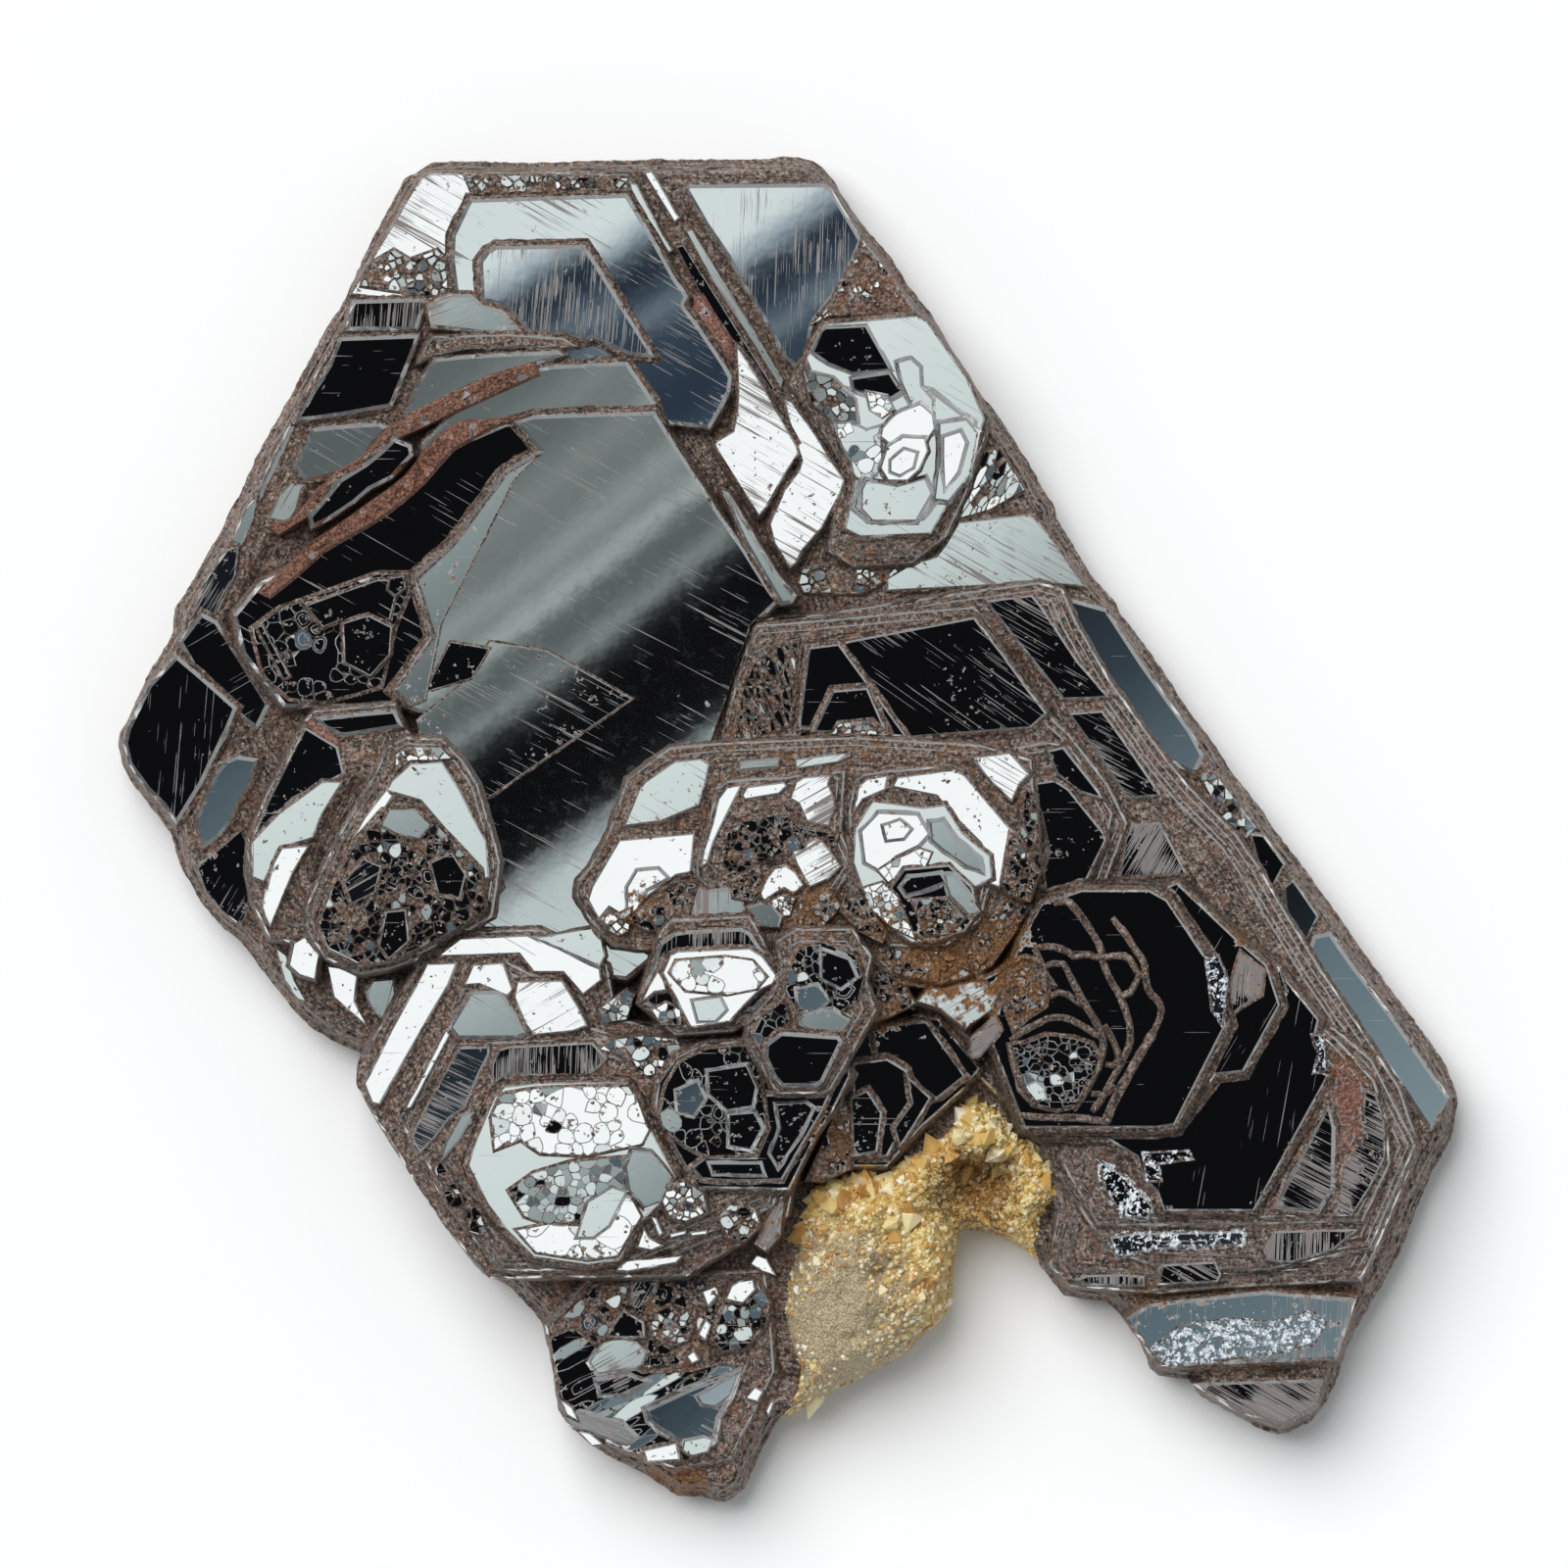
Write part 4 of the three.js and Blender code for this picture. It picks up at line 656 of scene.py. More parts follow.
def paint(p, upto=None, attrs=False):
    n = len(p)
    z, wd = base_z(p)
    wd = wd.copy()
    pid = np.full(n, -1, int)
    kind = np.zeros(n, np.int8)          # 0 wall, 1 face, 2 rim
    pl, ph_ = p.min(0), p.max(0)
    n_up = len(LIST) if upto is None else upto
    near = np.nonzero((BLO[:n_up, 0] < ph_[0]) & (BLO[:n_up, 1] < ph_[1]) & (BHI[:n_up, 0] > pl[0]) & (BHI[:n_up, 1] > pl[1]))[0]
    for i in near:
        d = LIST[i]
        lo, hi = BLO[i], BHI[i]
        idx = np.nonzero((p[:, 0] > lo[0]) & (p[:, 0] < hi[0]) & (p[:, 1] > lo[1]) & (p[:, 1] < hi[1]))[0]
        if not len(idx):
            continue
        q = p[idx]
        s = signed(d["pts"], q)
        ins = s <= 1e-3
        zi = plane(d, q)
        rw = d["rimw"]
        if rw > 0:
            zi = zi - np.clip(rw + s, 0, rw) * U * 0.30
        if ins.any():
            j = idx[ins]
            z[j] = zi[ins]
            pid[j] = i
            kind[j] = np.where(s[ins] > -rw * 0.999, 2, 0 if d["kind"] in ("wall", "rubble") and not d.get("ground") else 1)
            wd[j] = -s[ins]
        out = (~ins) & (s < d["w"])
        if out.any():
            j = idx[out]
            k = s[out] / d["w"]
            ze = zi[out] if rw <= 0 else plane(d, q[out]) - rw * U * 0.30
            up = ze > z[j]
            k2 = np.clip(k + 0.07 * np.sin(k * math.pi * 4), 0, 1)
            zn = z[j] + (ze - z[j]) * (1 - k2)
            z[j] = np.where(up, zn, z[j])
            jj = j[up]
            pid[jj] = i
            kind[jj] = 2 if d.get("bare") else 0
            # outside the edge wd is 40 plus the distance out, so the material paints shade towards the foot of the wall
            wd[jj] = s[out][up] + 40
    if attrs:
        return z, pid, kind, wd
    return z


# Heights and tilts, from the lowest plate to the highest
BIG = np.array([area(d["pts"]) for d in LIST])
BLO = np.array([d["pts"].min(0) - d["w"] - 1 for d in LIST])
BHI = np.array([d["pts"].max(0) + d["w"] + 1 for d in LIST])
for i, d in enumerate(LIST):
    pts = d["pts"]
    d["c"] = centroid(pts)
    d["rimw"] = d.get("rim", (1.6 if -70 < d["t"] < -32 else 4.0) if d["kind"] == "face" and d["w"] > 3.5 else 1.5 if -70 < d["t"] < -32 else 2.2 if d["kind"] in ("face", "wall") else 0.0)
    at = np.array(d.get("at", d["c"]), float)
    # slope that mirrors stripe t at the point `at`
    rel = (at - np.array(EYE_C)) * U / 1000.0 / EYE
    t = (d["t"] + d.get("tj", 0.0)) / 1000.0
    want = (rel @ DIR - t) / 2.0
    g = np.array([want * DIR[0], -want * DIR[1]])        # x to the right, y up
    if d["kind"] in ("wall", "rubble") and not d.get("ground"):
        g = g * 0.3
    if "extra" in d:
        g = g + np.array(d["extra"])
    d["g"] = g
    d["z"] = 0.0
    ring = dense(offset(pts, d["w"] * 0.9 + 0.5), 9.0)
    if d.get("parent"):
        ring = dense(pts, 6.0)
    zo = paint(ring, i)
    rel = plane(d, ring)
    need = zo - rel
    base = np.percentile(need, 50 if d.get("parent") else 85)
    d["z"] = float(base + d["step"] * 1.14)

# ---------------------------------------------------------------- triangulate
VERTS, EDGES = [], []


def ring_in(poly, level=-1):
    """Adds an outline, apart from what later plates cover."""
    n = len(poly)
    keep = np.ones(n, bool)
    pl, ph_ = poly.min(0), poly.max(0)
    later = np.nonzero((BLO[:, 0] < ph_[0]) & (BLO[:, 1] < ph_[1]) & (BHI[:, 0] > pl[0]) & (BHI[:, 1] > pl[1]))[0]
    for j in later[later > level]:
        if LIST[j]["kind"] in ("cells", "rubble") or BIG[j] < 150:
            continue
        m = np.nonzero(keep & (poly[:, 0] > BLO[j, 0]) & (poly[:, 0] < BHI[j, 0]) & (poly[:, 1] > BLO[j, 1]) & (poly[:, 1] < BHI[j, 1]))[0]
        if not len(m):
            continue
        s_ = signed(LIST[j]["pts"], poly[m])
        keep[m[s_ < -(LIST[j]["rimw"] + .8)]] = False
    idx = np.full(n, -1, int)
    idx[keep] = len(VERTS) + np.arange(keep.sum())
    VERTS.extend(Vector((float(a), float(b))) for a, b in poly[keep])
    EDGES.extend((int(idx[i]), int(idx[(i + 1) % n])) for i in range(n) if keep[i] and keep[(i + 1) % n])


r0 = random.Random(11)
edge_dense = dense(OUTN, 5.0, 0.7, r0)
ring_in(edge_dense)
for k in (4.5, 8.5, 13.0, RAMP):
    ring_in(dense(offset(OUTN, -k), 7.0, 0.6, r0))
for li, d in enumerate(LIST):
    pts = d["pts"]
    small = bool(d.get("parent"))
    st = 7.0 if small else 9.0
    wob = 0.25 if small else min(1.1, d["w"] * .35)
    if d["kind"] == "cells" or d["kind"] == "rubble":
        ring_in(dense(pts, st), li)
        ring_in(dense(offset(pts, d["w"]), st), li)
        continue
    ring_in(dense(pts, st, wob * .5, r0), li)
    if d["name"].endswith("_r"):
        continue
    if d["rimw"] > 0:
        ring_in(dense(offset(pts, -d["rimw"]), st * 1.5), li)
    w = d["w"]
    if w <= 3.5:
        ring_in(dense(offset(pts, w), st * 1.2, wob, r0), li)
    else:
        for k in ((.5, 1.0) if w < 7 else (.35, .68, 1.0) if w < 11 else (.25, .5, .75, 1.0)):
            ring_in(dense(offset(pts, w * k), st, 1.0, r0), li)

gp = []
gy = OUTN[:, 1].min()
while gy < OUTN[:, 1].max():
    gx = OUTN[:, 0].min()
    while gx < OUTN[:, 0].max():
        gp.append((gx + r0.uniform(-2.6, 2.6), gy + r0.uniform(-2.6, 2.6)))
        gx += 7.6
    gy += 6.8
gp = np.array(gp)
gp = gp[inside(OUTN, gp)]
gp = gp[seg_dist(OUTN, gp) > 2.5]
gk = paint(gp, attrs=True)[2]
VERTS.extend(Vector((float(a), float(b))) for a, b in gp[gk == 0])

res = delaunay_2d_cdt(VERTS, EDGES, [], 0, 0.05)
pv = np.array([(v.x, v.y) for v in res[0]])
tri = np.array([f for f in res[2] if len(f) == 3], int)
cen = pv[tri].mean(1)
keep = inside(edge_dense, cen)
tri = tri[keep]
cen = cen[keep]
# area of each triangle (nothing uses it); points that no triangle uses are dropped
e1, e2 = pv[tri[:, 1]] - pv[tri[:, 0]], pv[tri[:, 2]] - pv[tri[:, 0]]
ar = e1[:, 0] * e2[:, 1] - e1[:, 1] * e2[:, 0]
used = np.unique(tri)
remap = np.full(len(pv), -1, int)
remap[used] = np.arange(len(used))
pv = pv[used]
tri = remap[tri]
pz, ppid, pkind, pwd = paint(pv, attrs=True)
_, fpid, fkind, _ = paint(cen, attrs=True)
# rough walls get a little relief, mirror faces stay flat
nr = np.random.RandomState(5)
jit = nr.uniform(-1, 1, len(pv))
on_edge = np.zeros(len(pv), bool)
on_edge[np.unique(tri[fkind != 0])] = True
edge_d = seg_dist(edge_dense, pv)
pz = pz + np.where(~on_edge & (edge_d > 1), jit * 0.055, 0)
flat = np.nonzero(fkind == 1)[0]
for i in np.unique(fpid[flat]):
    v = np.unique(tri[flat[fpid[flat] == i]])
    pz[v] = plane(LIST[i], pv[v])
# rim facets that hang over a wall are as rough as the wall
xyz = np.column_stack([pv[:, 0] * U, -pv[:, 1] * U, pz])
nrm = np.cross(xyz[tri[:, 1]] - xyz[tri[:, 0]], xyz[tri[:, 2]] - xyz[tri[:, 0]])
steep = (np.abs(nrm[:, 2]) < 0.5 * np.linalg.norm(nrm, axis=1)) & (np.ptp(pz[tri], axis=1) > 0.25)
print("hanging rim facets:", int(((fkind == 2) & steep).sum()), "of", int((fkind == 2).sum()))
fkind = np.where((fkind == 2) & steep, 0, fkind)
print("top surface:", len(pv), "points", len(tri), "triangles", "height", pz.min(), pz.max())

# ---------------------------------------------------------------- sides and underside
ecount = {}
for a, b, c in tri:
    for u, v in ((a, b), (b, c), (c, a)):
        key = (u, v) if u < v else (v, u)
        ecount.setdefault(key, []).append((u, v))
nxt = {}
for key, l in ecount.items():
    if len(l) == 1:
        nxt[l[0][0]] = l[0][1]
loops = []
left = dict(nxt)
while left:
    s0 = next(iter(left))
    loop = [s0]
    c = left.pop(s0)
    while c != s0 and c in left:
        loop.append(c)
        c = left.pop(c)
    loops.append(loop)
loops.sort(key=len, reverse=True)
print("edge loops:", [len(l) for l in loops[:5]])
loop = loops[0]

allv = [tuple(v) for v in np.column_stack([(pv[:, 0] - CX) * U, (CY - pv[:, 1]) * U, pz])]
faces = [tuple(t) for t in tri]
f_pid = list(fpid)
f_kind = list(fkind)
v_wd = list(pwd)
rim_xy = pv[loop]
# layered sides: thin lamellae that stand in and out a little
LAYERS = [(1.42, 0.0, .8), (1.34, 1.4, .5), (1.12, 1.0, .6), (1.02, 2.6, .6), (0.78, 2.3, .8), (0.66, 4.4, .6),
          (0.42, 4.6, .8), (0.30, 6.4, .6), (0.10, 7.2, .6), (0.0, 8.2, .4)]


def inward(ring, window):
    """Averaged inward direction along a closed ring; short in tight corners."""
    n = offset(ring, -1.0) - ring
    l = np.linalg.norm(n, axis=1)
    n = n / np.maximum(1e-6, l)[:, None]
    acc = np.zeros_like(n)
    for q in range(-window, window + 1):
        acc += np.roll(n, q, 0)
    return acc / (2 * window + 1)


def unfold(poly, ref):
    """Smooths the places where an inset ring would fold over."""
    e0 = np.roll(ref, -1, 0) - ref
    for _ in range(12):
        e = np.roll(poly, -1, 0) - poly
        bad = (e * e0).sum(1) <= .12 * (e0 * e0).sum(1)
        if not bad.any():
            break
        m = bad | np.roll(bad, 1)
        for q in (1, 2, 4):
            m = m | np.roll(m, q) | np.roll(m, -q)
        sm = poly
        for _ in range(4):
            sm = (np.roll(sm, 1, 0) + sm + np.roll(sm, -1, 0)) / 3
        poly = np.where(m[:, None], sm, poly)
    return poly


prev = list(loop)
lr = random.Random(21)
nl = len(loop)
ph = [lr.uniform(0, 6.28) for _ in range(6)]
arc = np.concatenate([[0], np.cumsum(np.linalg.norm(np.diff(rim_xy, axis=0), axis=1))])
inw = inward(rim_xy, 4)
for zi, ins_d, amp in LAYERS:
    poly = rim_xy + inw * ins_d
    wave = np.array([math.sin(arc[k] * .031 + ph[0] + zi * 9) + .6 * math.sin(arc[k] * .083 + ph[1] + zi * 17)
                     + .5 * lr.uniform(-1, 1) for k in range(nl)])
    poly = unfold(poly + inw * (wave * amp * .6)[:, None], rim_xy)
    s = len(allv)
    for k in range(nl):
        zz = zi + (0.03 * lr.uniform(-1, 1) if 0 < zi < 1.4 else 0)
        allv.append(((poly[k, 0] - CX) * U, (CY - poly[k, 1]) * U, zz))
        # wd of 60 and up on the sides gives them a quarter of the material's painted foot shade
        v_wd.append(60 + zi * 30)
    cur = list(range(s, s + nl))
    for k in range(nl):
        k2 = (k + 1) % nl
        faces.append((prev[k], cur[k], cur[k2]))
        faces.append((prev[k], cur[k2], prev[k2]))
        f_pid += [-1, -1]
        f_kind += [0, 0]
    prev = cur
# underside: flat at the rim, shallow growth terraces within
bottom = np.array([[allv[i][0] / U + CX, CY - allv[i][1] / U] for i in prev])
ub = random.Random(77)
ulo, uhi = bottom.min(0), bottom.max(0)
upts = []
yy = ulo[1]
while yy < uhi[1]:
    xx = ulo[0]
    while xx < uhi[0]:
        upts.append((xx + ub.uniform(-5, 5), yy + ub.uniform(-5, 5)))
        xx += 17
    yy += 15
upts = np.array(upts)
upts = upts[inside(bottom, upts)]
udist = seg_dist(bottom, upts)
upts, udist = upts[udist > 9], udist[udist > 9]
ur = random.Random(41)


def crystal(x_, y_, rr_):
    """Hexagonal outline, each side at its own distance."""
    d_ = [rr_ * ur.uniform(.68, 1.2) for _ in range(6)]
    nn = [(math.cos(math.radians(30 + 60 * q)), math.sin(math.radians(30 + 60 * q))) for q in range(6)]
    c_ = np.array([np.linalg.solve(np.array([nn[q], nn[(q + 1) % 6]]), [d_[q], d_[(q + 1) % 6]]) for q in range(6)]) + [x_, y_]
    return c_ if area(c_) > 0 else c_[::-1].copy()


# outline, height, mirror or rough; the lower ones lap over the others
UND = [(crystal(560, 700, 270), .40, 0), (crystal(430, 430, 190), .36, 1), (crystal(1040, 830, 230), .33, 0), (crystal(720, 350, 150), .30, 0),
       (crystal(310, 790, 140), .27, 1), (crystal(1270, 1100, 180), .24, 0), (crystal(850, 600, 170), .21, 1), (crystal(620, 1080, 190), .18, 0),
       (crystal(1010, 1000, 110), .16, 0), (crystal(1180, 950, 130), .12, 1), (crystal(560, 760, 130), .09, 0), (crystal(690, 1370, 90), .12, 0),
       (crystal(1270, 1340, 90), .1, 1), (crystal(760, 880, 120), .05, 0), (crystal(470, 520, 90), .03, 0), (crystal(560, 1150, 90), .05, 1)]


def under_z(p, dist):
    """Height, kind and distance to the edge of the plates of the underside."""
    z = np.full(len(p), .46)
    kind = np.zeros(len(p), int)
    wd_ = np.full(len(p), 64.0)
    for o_, up_, mk_ in UND:
        s_ = signed(o_, p)
        z = np.where(s_ < -4, up_, np.where(s_ < 0, z + (up_ - z) * -s_ / 4, z))
        kind = np.where(s_ < -4, mk_, np.where(s_ < 0, 0, kind))
        # wd_ also sets the painted shade of the wall colour: in full below 57, as on the slopes between plates (56), a
        # quarter above 59, as at the rim (64)
        wd_ = np.where(s_ < -3.9, np.clip(-s_ - 4, 0, 30) if mk_ else 62 + .03 * s_, np.where(s_ < 0, 56, wd_))
    return z * np.clip((dist - 6) / 14.0, 0, 1), np.where(dist < 21, 0, kind), wd_


ring_p, ring_e = [], []
clear = np.ones(len(upts), bool)
for n_, (o_, up_, mk_) in enumerate(UND):
    s_ = signed(o_, upts)
    for k_ in (0, -4):
        pp = dense(o_ if k_ == 0 else offset(o_, k_), 16.0)
        ok = inside(bottom, pp) & (seg_dist(bottom, pp) > 12)
        for o2, u2, m2 in UND[n_ + 1:]:
            ok &= signed(o2, pp) > 1.5
        ids = np.full(len(pp), -1)
        ids[ok] = nl + len(ring_p) + np.arange(ok.sum())
        ring_p += [tuple(v) for v in pp[ok]]
        ring_e += [(int(ids[q]), int(ids[(q + 1) % len(pp)])) for q in range(len(pp)) if ok[q] and ok[(q + 1) % len(pp)]]
        clear &= np.abs(s_ - k_) > 5
upts = upts[clear]
bres = delaunay_2d_cdt([Vector((float(a), float(b))) for a, b in np.vstack([bottom, np.array(ring_p), upts])],
                       [(i, (i + 1) % nl) for i in range(nl)] + ring_e, [], 1, 1e-5)
bxy = np.array([[v.x, v.y] for v in bres[0]])
bz, bk, bw = under_z(bxy, seg_dist(bottom, bxy))
bmap = {}
for i, o in enumerate(bres[3]):
    if o and o[0] < nl:
        bmap[i] = prev[o[0]]
    else:
        bmap[i] = len(allv)
        allv.append(((bxy[i, 0] - CX) * U, (CY - bxy[i, 1]) * U, float(bz[i])))
        v_wd.append(float(bw[i]))
mids = np.array([bxy[list(f)].mean(0) for f in bres[2]])
mkind = under_z(mids, seg_dist(bottom, mids))[1]
U0 = len(faces)
for f, mk in zip(bres[2], mkind):
    g = tuple(bmap[i] for i in f)
    # the drawing has y down, so this winding already looks down
    faces.append(g)
    f_pid.append(-1)
    f_kind.append(int(mk))

# ---------------------------------------------------------------- surface
co = np.array(allv) * 0.001


def make_mesh(name, co, faces):
    me = bpy.data.meshes.new(name)
    me.from_pydata([tuple(v) for v in co], [], [tuple(int(i) for i in f) for f in faces])
    me.validate(verbose=False)
    me.update()
    ob = bpy.data.objects.new(name, me)
    bpy.context.scene.collection.objects.link(ob)
    return ob


hem = make_mesh("hematite_plates_looks", co, faces)
me = hem.data
nf = len(me.polygons)
print("hematite faces", nf, "of", len(faces))


def face_attr(me, name, vals):
    a = me.attributes.new(name, "FLOAT", "FACE")
    a.data.foreach_set("value", np.asarray(vals, np.float32))


def point_attr(me, name, vals):
    a = me.attributes.new(name, "FLOAT", "POINT")
    a.data.foreach_set("value", np.asarray(vals, np.float32))


f_pid = np.array(f_pid[:nf])
f_kind = np.array(f_kind[:nf])


def per_plate(key, default):
    tab = np.array([float(d.get(key, default)) for d in LIST] + [default])
    return tab[f_pid]


ha = np.array([math.radians(d["hatch"][0]) if "hatch" in d else 0 for d in LIST] + [0])[f_pid]
hs = np.array([d["hatch"][1] if "hatch" in d else .08 for d in LIST] + [0])[f_pid]
ha[U0:], hs[U0:] = math.radians(28), .5
face_attr(me, "wall", (f_kind == 0).astype(float))
face_attr(me, "rim", (f_kind == 2).astype(float))
face_attr(me, "ha", ha)
face_attr(me, "hs", hs * (f_kind != 0))
face_attr(me, "red", per_plate("red", 0))
face_attr(me, "prust", per_plate("rust", 0))
tar_ = per_plate("tar", 0)
tar_[U0:] = .6
face_attr(me, "tar", tar_)
face_attr(me, "frost", per_plate("frost", 0))
st = np.zeros(len(co))
xy = np.column_stack([co[:, 0] * 1000 / U + CX, CY - co[:, 1] * 1000 / U])
for x, y, rr, s in STAINS:
    st = np.maximum(st, s * np.exp(-((xy[:, 0] - x) ** 2 + (xy[:, 1] - y) ** 2) / (rr * rr)))
point_attr(me, "rust", st)
point_attr(me, "wd", np.array(v_wd[:len(co)]))
for p_ in me.polygons:
    p_.use_smooth = False


# ================================================================ materials
class Nodes:
    """Small helper to write node trees as expressions."""

    def __init__(self, tree):
        self.t = tree
        self.n = tree.nodes
        self.l = tree.links

    def new(self, kind, **kw):
        nd = self.n.new(kind)
        for k, v in kw.items():
            setattr(nd, k, v)
        return nd

    def put(self, sock, v):
        if hasattr(v, "is_output"):
            self.l.new(v, sock)
        else:
            sock.default_value = v

    def math(self, op, a, b=0.0, c=None, clamp=False):
        nd = self.new("ShaderNodeMath", operation=op, use_clamp=clamp)
        self.put(nd.inputs[0], a)
        self.put(nd.inputs[1], b)
        if c is not None:
            self.put(nd.inputs[2], c)
        return nd.outputs[0]

    def add(self, a, b):
        return self.math("ADD", a, b)

    def mul(self, a, b):
        return self.math("MULTIPLY", a, b)

    def attr(self, name):
        nd = self.new("ShaderNodeAttribute", attribute_name=name)
        return nd.outputs["Fac"]

    def xyz(self, x, y, z=0.0):
        nd = self.new("ShaderNodeCombineXYZ")
        for s, v in zip(nd.inputs, (x, y, z)):
            self.put(s, v)
        return nd.outputs[0]

    def noise(self, vec, scale, detail=2.0, rough=.5, dist=0.0, lac=2.0):
        nd = self.new("ShaderNodeTexNoise", noise_dimensions="3D")
        self.put(nd.inputs["Vector"], vec)
        nd.inputs["Scale"].default_value = scale
        nd.inputs["Detail"].default_value = detail
        nd.inputs["Roughness"].default_value = rough
        nd.inputs["Distortion"].default_value = dist
        nd.inputs["Lacunarity"].default_value = lac
        return nd.outputs[0]

    def ramp(self, v, lo, hi, a=0.0, b=1.0, smooth=True):
        nd = self.new("ShaderNodeMapRange", interpolation_type="SMOOTHSTEP" if smooth else "LINEAR", clamp=True)
        for s, q in zip(nd.inputs[:5], (v, lo, hi, a, b)):
            self.put(s, q)
        return nd.outputs[0]

    def mix(self, f, a, b):
        nd = self.new("ShaderNodeMix", data_type="RGBA")
        self.put(nd.inputs[0], f)
        self.put(nd.inputs[6], a)
        self.put(nd.inputs[7], b)
        return nd.outputs[2]

    def mixf(self, f, a, b):
        nd = self.new("ShaderNodeMix", data_type="FLOAT")
        self.put(nd.inputs[0], f)
        self.put(nd.inputs[2], a)
        self.put(nd.inputs[3], b)
        return nd.outputs[0]


def srgb(r, g, b):
    f = lambda c: (c / 255 / 12.92) if c / 255 <= .04045 else ((c / 255 + .055) / 1.055) ** 2.4
    return (f(r), f(g), f(b), 1.0)


def new_mat(name):
    m = bpy.data.materials.new(name)
    m.use_nodes = True
    k = Nodes(m.node_tree)
    k.n.clear()
    out = k.new("ShaderNodeOutputMaterial")
    bs = k.new("ShaderNodeBsdfPrincipled")
    k.l.new(bs.outputs[0], out.inputs[0])
    return m, k, bs


def hematite_material():
    m, k, bs = new_mat("hematite")
    geo = k.new("ShaderNodeTexCoord").outputs["Object"]
    sc = k.new("ShaderNodeVectorMath", operation="SCALE")
    k.l.new(geo, sc.inputs[0])
    sc.inputs["Scale"].default_value = 1000.0          # millimetres
    pos = sc.outputs[0]
    sp = k.new("ShaderNodeSeparateXYZ")
    k.l.new(pos, sp.inputs[0])
    x, y = sp.outputs[0], sp.outputs[1]
    wall, rim, ha, hs = k.attr("wall"), k.attr("rim"), k.attr("ha"), k.attr("hs")
    rust, prust, red, wd = k.attr("rust"), k.attr("prust"), k.attr("red"), k.attr("wd")
    # growth lines on the faces: broken parallel scratches, two sets along the direction that each plate gives
    ca, sa = k.math("COSINE", ha), k.math("SINE", ha)
    along = k.add(k.mul(x, ca), k.mul(y, sa))
    across = k.math("SUBTRACT", k.mul(y, ca), k.mul(x, sa))
    v1 = k.xyz(k.mul(along, .20), k.mul(across, 13.0), k.mul(ha, 3.0))
    n1 = k.noise(v1, 1.0, 1.0, .5)
    v2 = k.xyz(k.mul(along, .40), k.mul(across, 24.0), 3.0)
    n2 = k.noise(v2, 1.0, 1.0, .5)
    patch = k.noise(pos, .40, 1.0, .55)
    near = k.ramp(k.math("MINIMUM", wd, 39.0), 3.0, 26.0, .12, 0.0)
    gate = k.math("SUBTRACT", .76, k.mul(hs, k.add(near, k.ramp(patch, .40, .64, .04, .27))))
    l1 = k.ramp(n1, gate, k.add(gate, .035))
    l2 = k.ramp(n2, k.add(gate, .01), k.add(gate, .04))
    lines = k.math("MAXIMUM", l1, k.mul(l2, .9))
    lines = k.mul(lines, k.ramp(hs, .02, .1))
    # rust creeping over faces
    rn = k.noise(pos, 2.2, 2.0, .62)
    rust_all = k.math("MAXIMUM", rust, prust)
    creep = k.ramp(k.add(k.mul(rust_all, .42), rn), .80, .93)
    fine = k.noise(pos, 9.0, 2.0, .6)
    grit0 = k.noise(pos, 3.4, 2.0, .68)
    crust = k.ramp(k.math("SUBTRACT", k.add(grit0, k.mul(rust_all, .12)), k.mul(k.math("MINIMUM", wd, 39.0), .035)), k.math("SUBTRACT", .59, k.mul(rim, .05)), k.math("SUBTRACT", .64, k.mul(rim, .05)))
    rough_mask = k.math("MAXIMUM", k.math("MAXIMUM", wall, k.mul(lines, .85)), k.math("MAXIMUM", creep, crust))
    # rough brown edges, layered along the edge
    lay = k.noise(k.xyz(k.mul(x, .7), k.mul(y, .7), k.mul(wd, .55)), 1.0, 2.0, .65)
    grit = k.noise(pos, 5.5, 2.0, .72)
    c1 = k.mix(k.ramp(k.add(k.mul(lay, .42), k.mul(grit, .58)), .40, .61), srgb(58, 51, 49), srgb(158, 142, 131))
    c2 = k.mix(k.ramp(fine, .36, .64), (.50, .48, .47, 1), (1.45, 1.45, 1.45, 1))
    mul = k.new("ShaderNodeMix", data_type="RGBA", blend_type="MULTIPLY")
    mul.inputs[0].default_value = 1.0
    k.put(mul.inputs[6], c1)
    k.put(mul.inputs[7], c2)
    brown = k.mix(k.ramp(rn, .48, .68, 0, .5), mul.outputs[2], srgb(122, 86, 68))
    # painted shade: the brown is darkened towards the foot of each wall, where wd rises from 41 to 48, fully up to wd
    # 57 and by a quarter from wd 59, as on the sides; grit breaks the shade up
    foot = k.new("ShaderNodeMix", data_type="RGBA", blend_type="MULTIPLY")
    foot.inputs[0].default_value = 1.0
    k.put(foot.inputs[6], brown)
    k.put(foot.inputs[7], k.mix(k.mul(k.mul(k.ramp(wd, 41.0, 48.0), k.ramp(wd, 57.0, 59.0, 1.0, .25)), k.ramp(grit0, .35, .6, .45, 1.0)), (1, 1, 1, 1), (.42, .38, .36, 1)))
    brown = foot.outputs[2]
    orange = k.mix(k.ramp(fine, .35, .7), srgb(84, 58, 40), srgb(158, 114, 70))
    rustc = k.mix(red, orange, k.mix(k.ramp(fine, .35, .68), srgb(92, 62, 54), srgb(166, 118, 102)))
    stain = k.ramp(k.add(k.mul(rust_all, .8), k.math("SUBTRACT", rn, .5)), .25, .8, 0, .9)
    roughc = k.mix(stain, brown, rustc)
    roughc = k.mix(k.mul(lines, k.math("SUBTRACT", 1.0, wall)), roughc, k.mix(stain, srgb(102, 88, 83), srgb(124, 94, 74)))
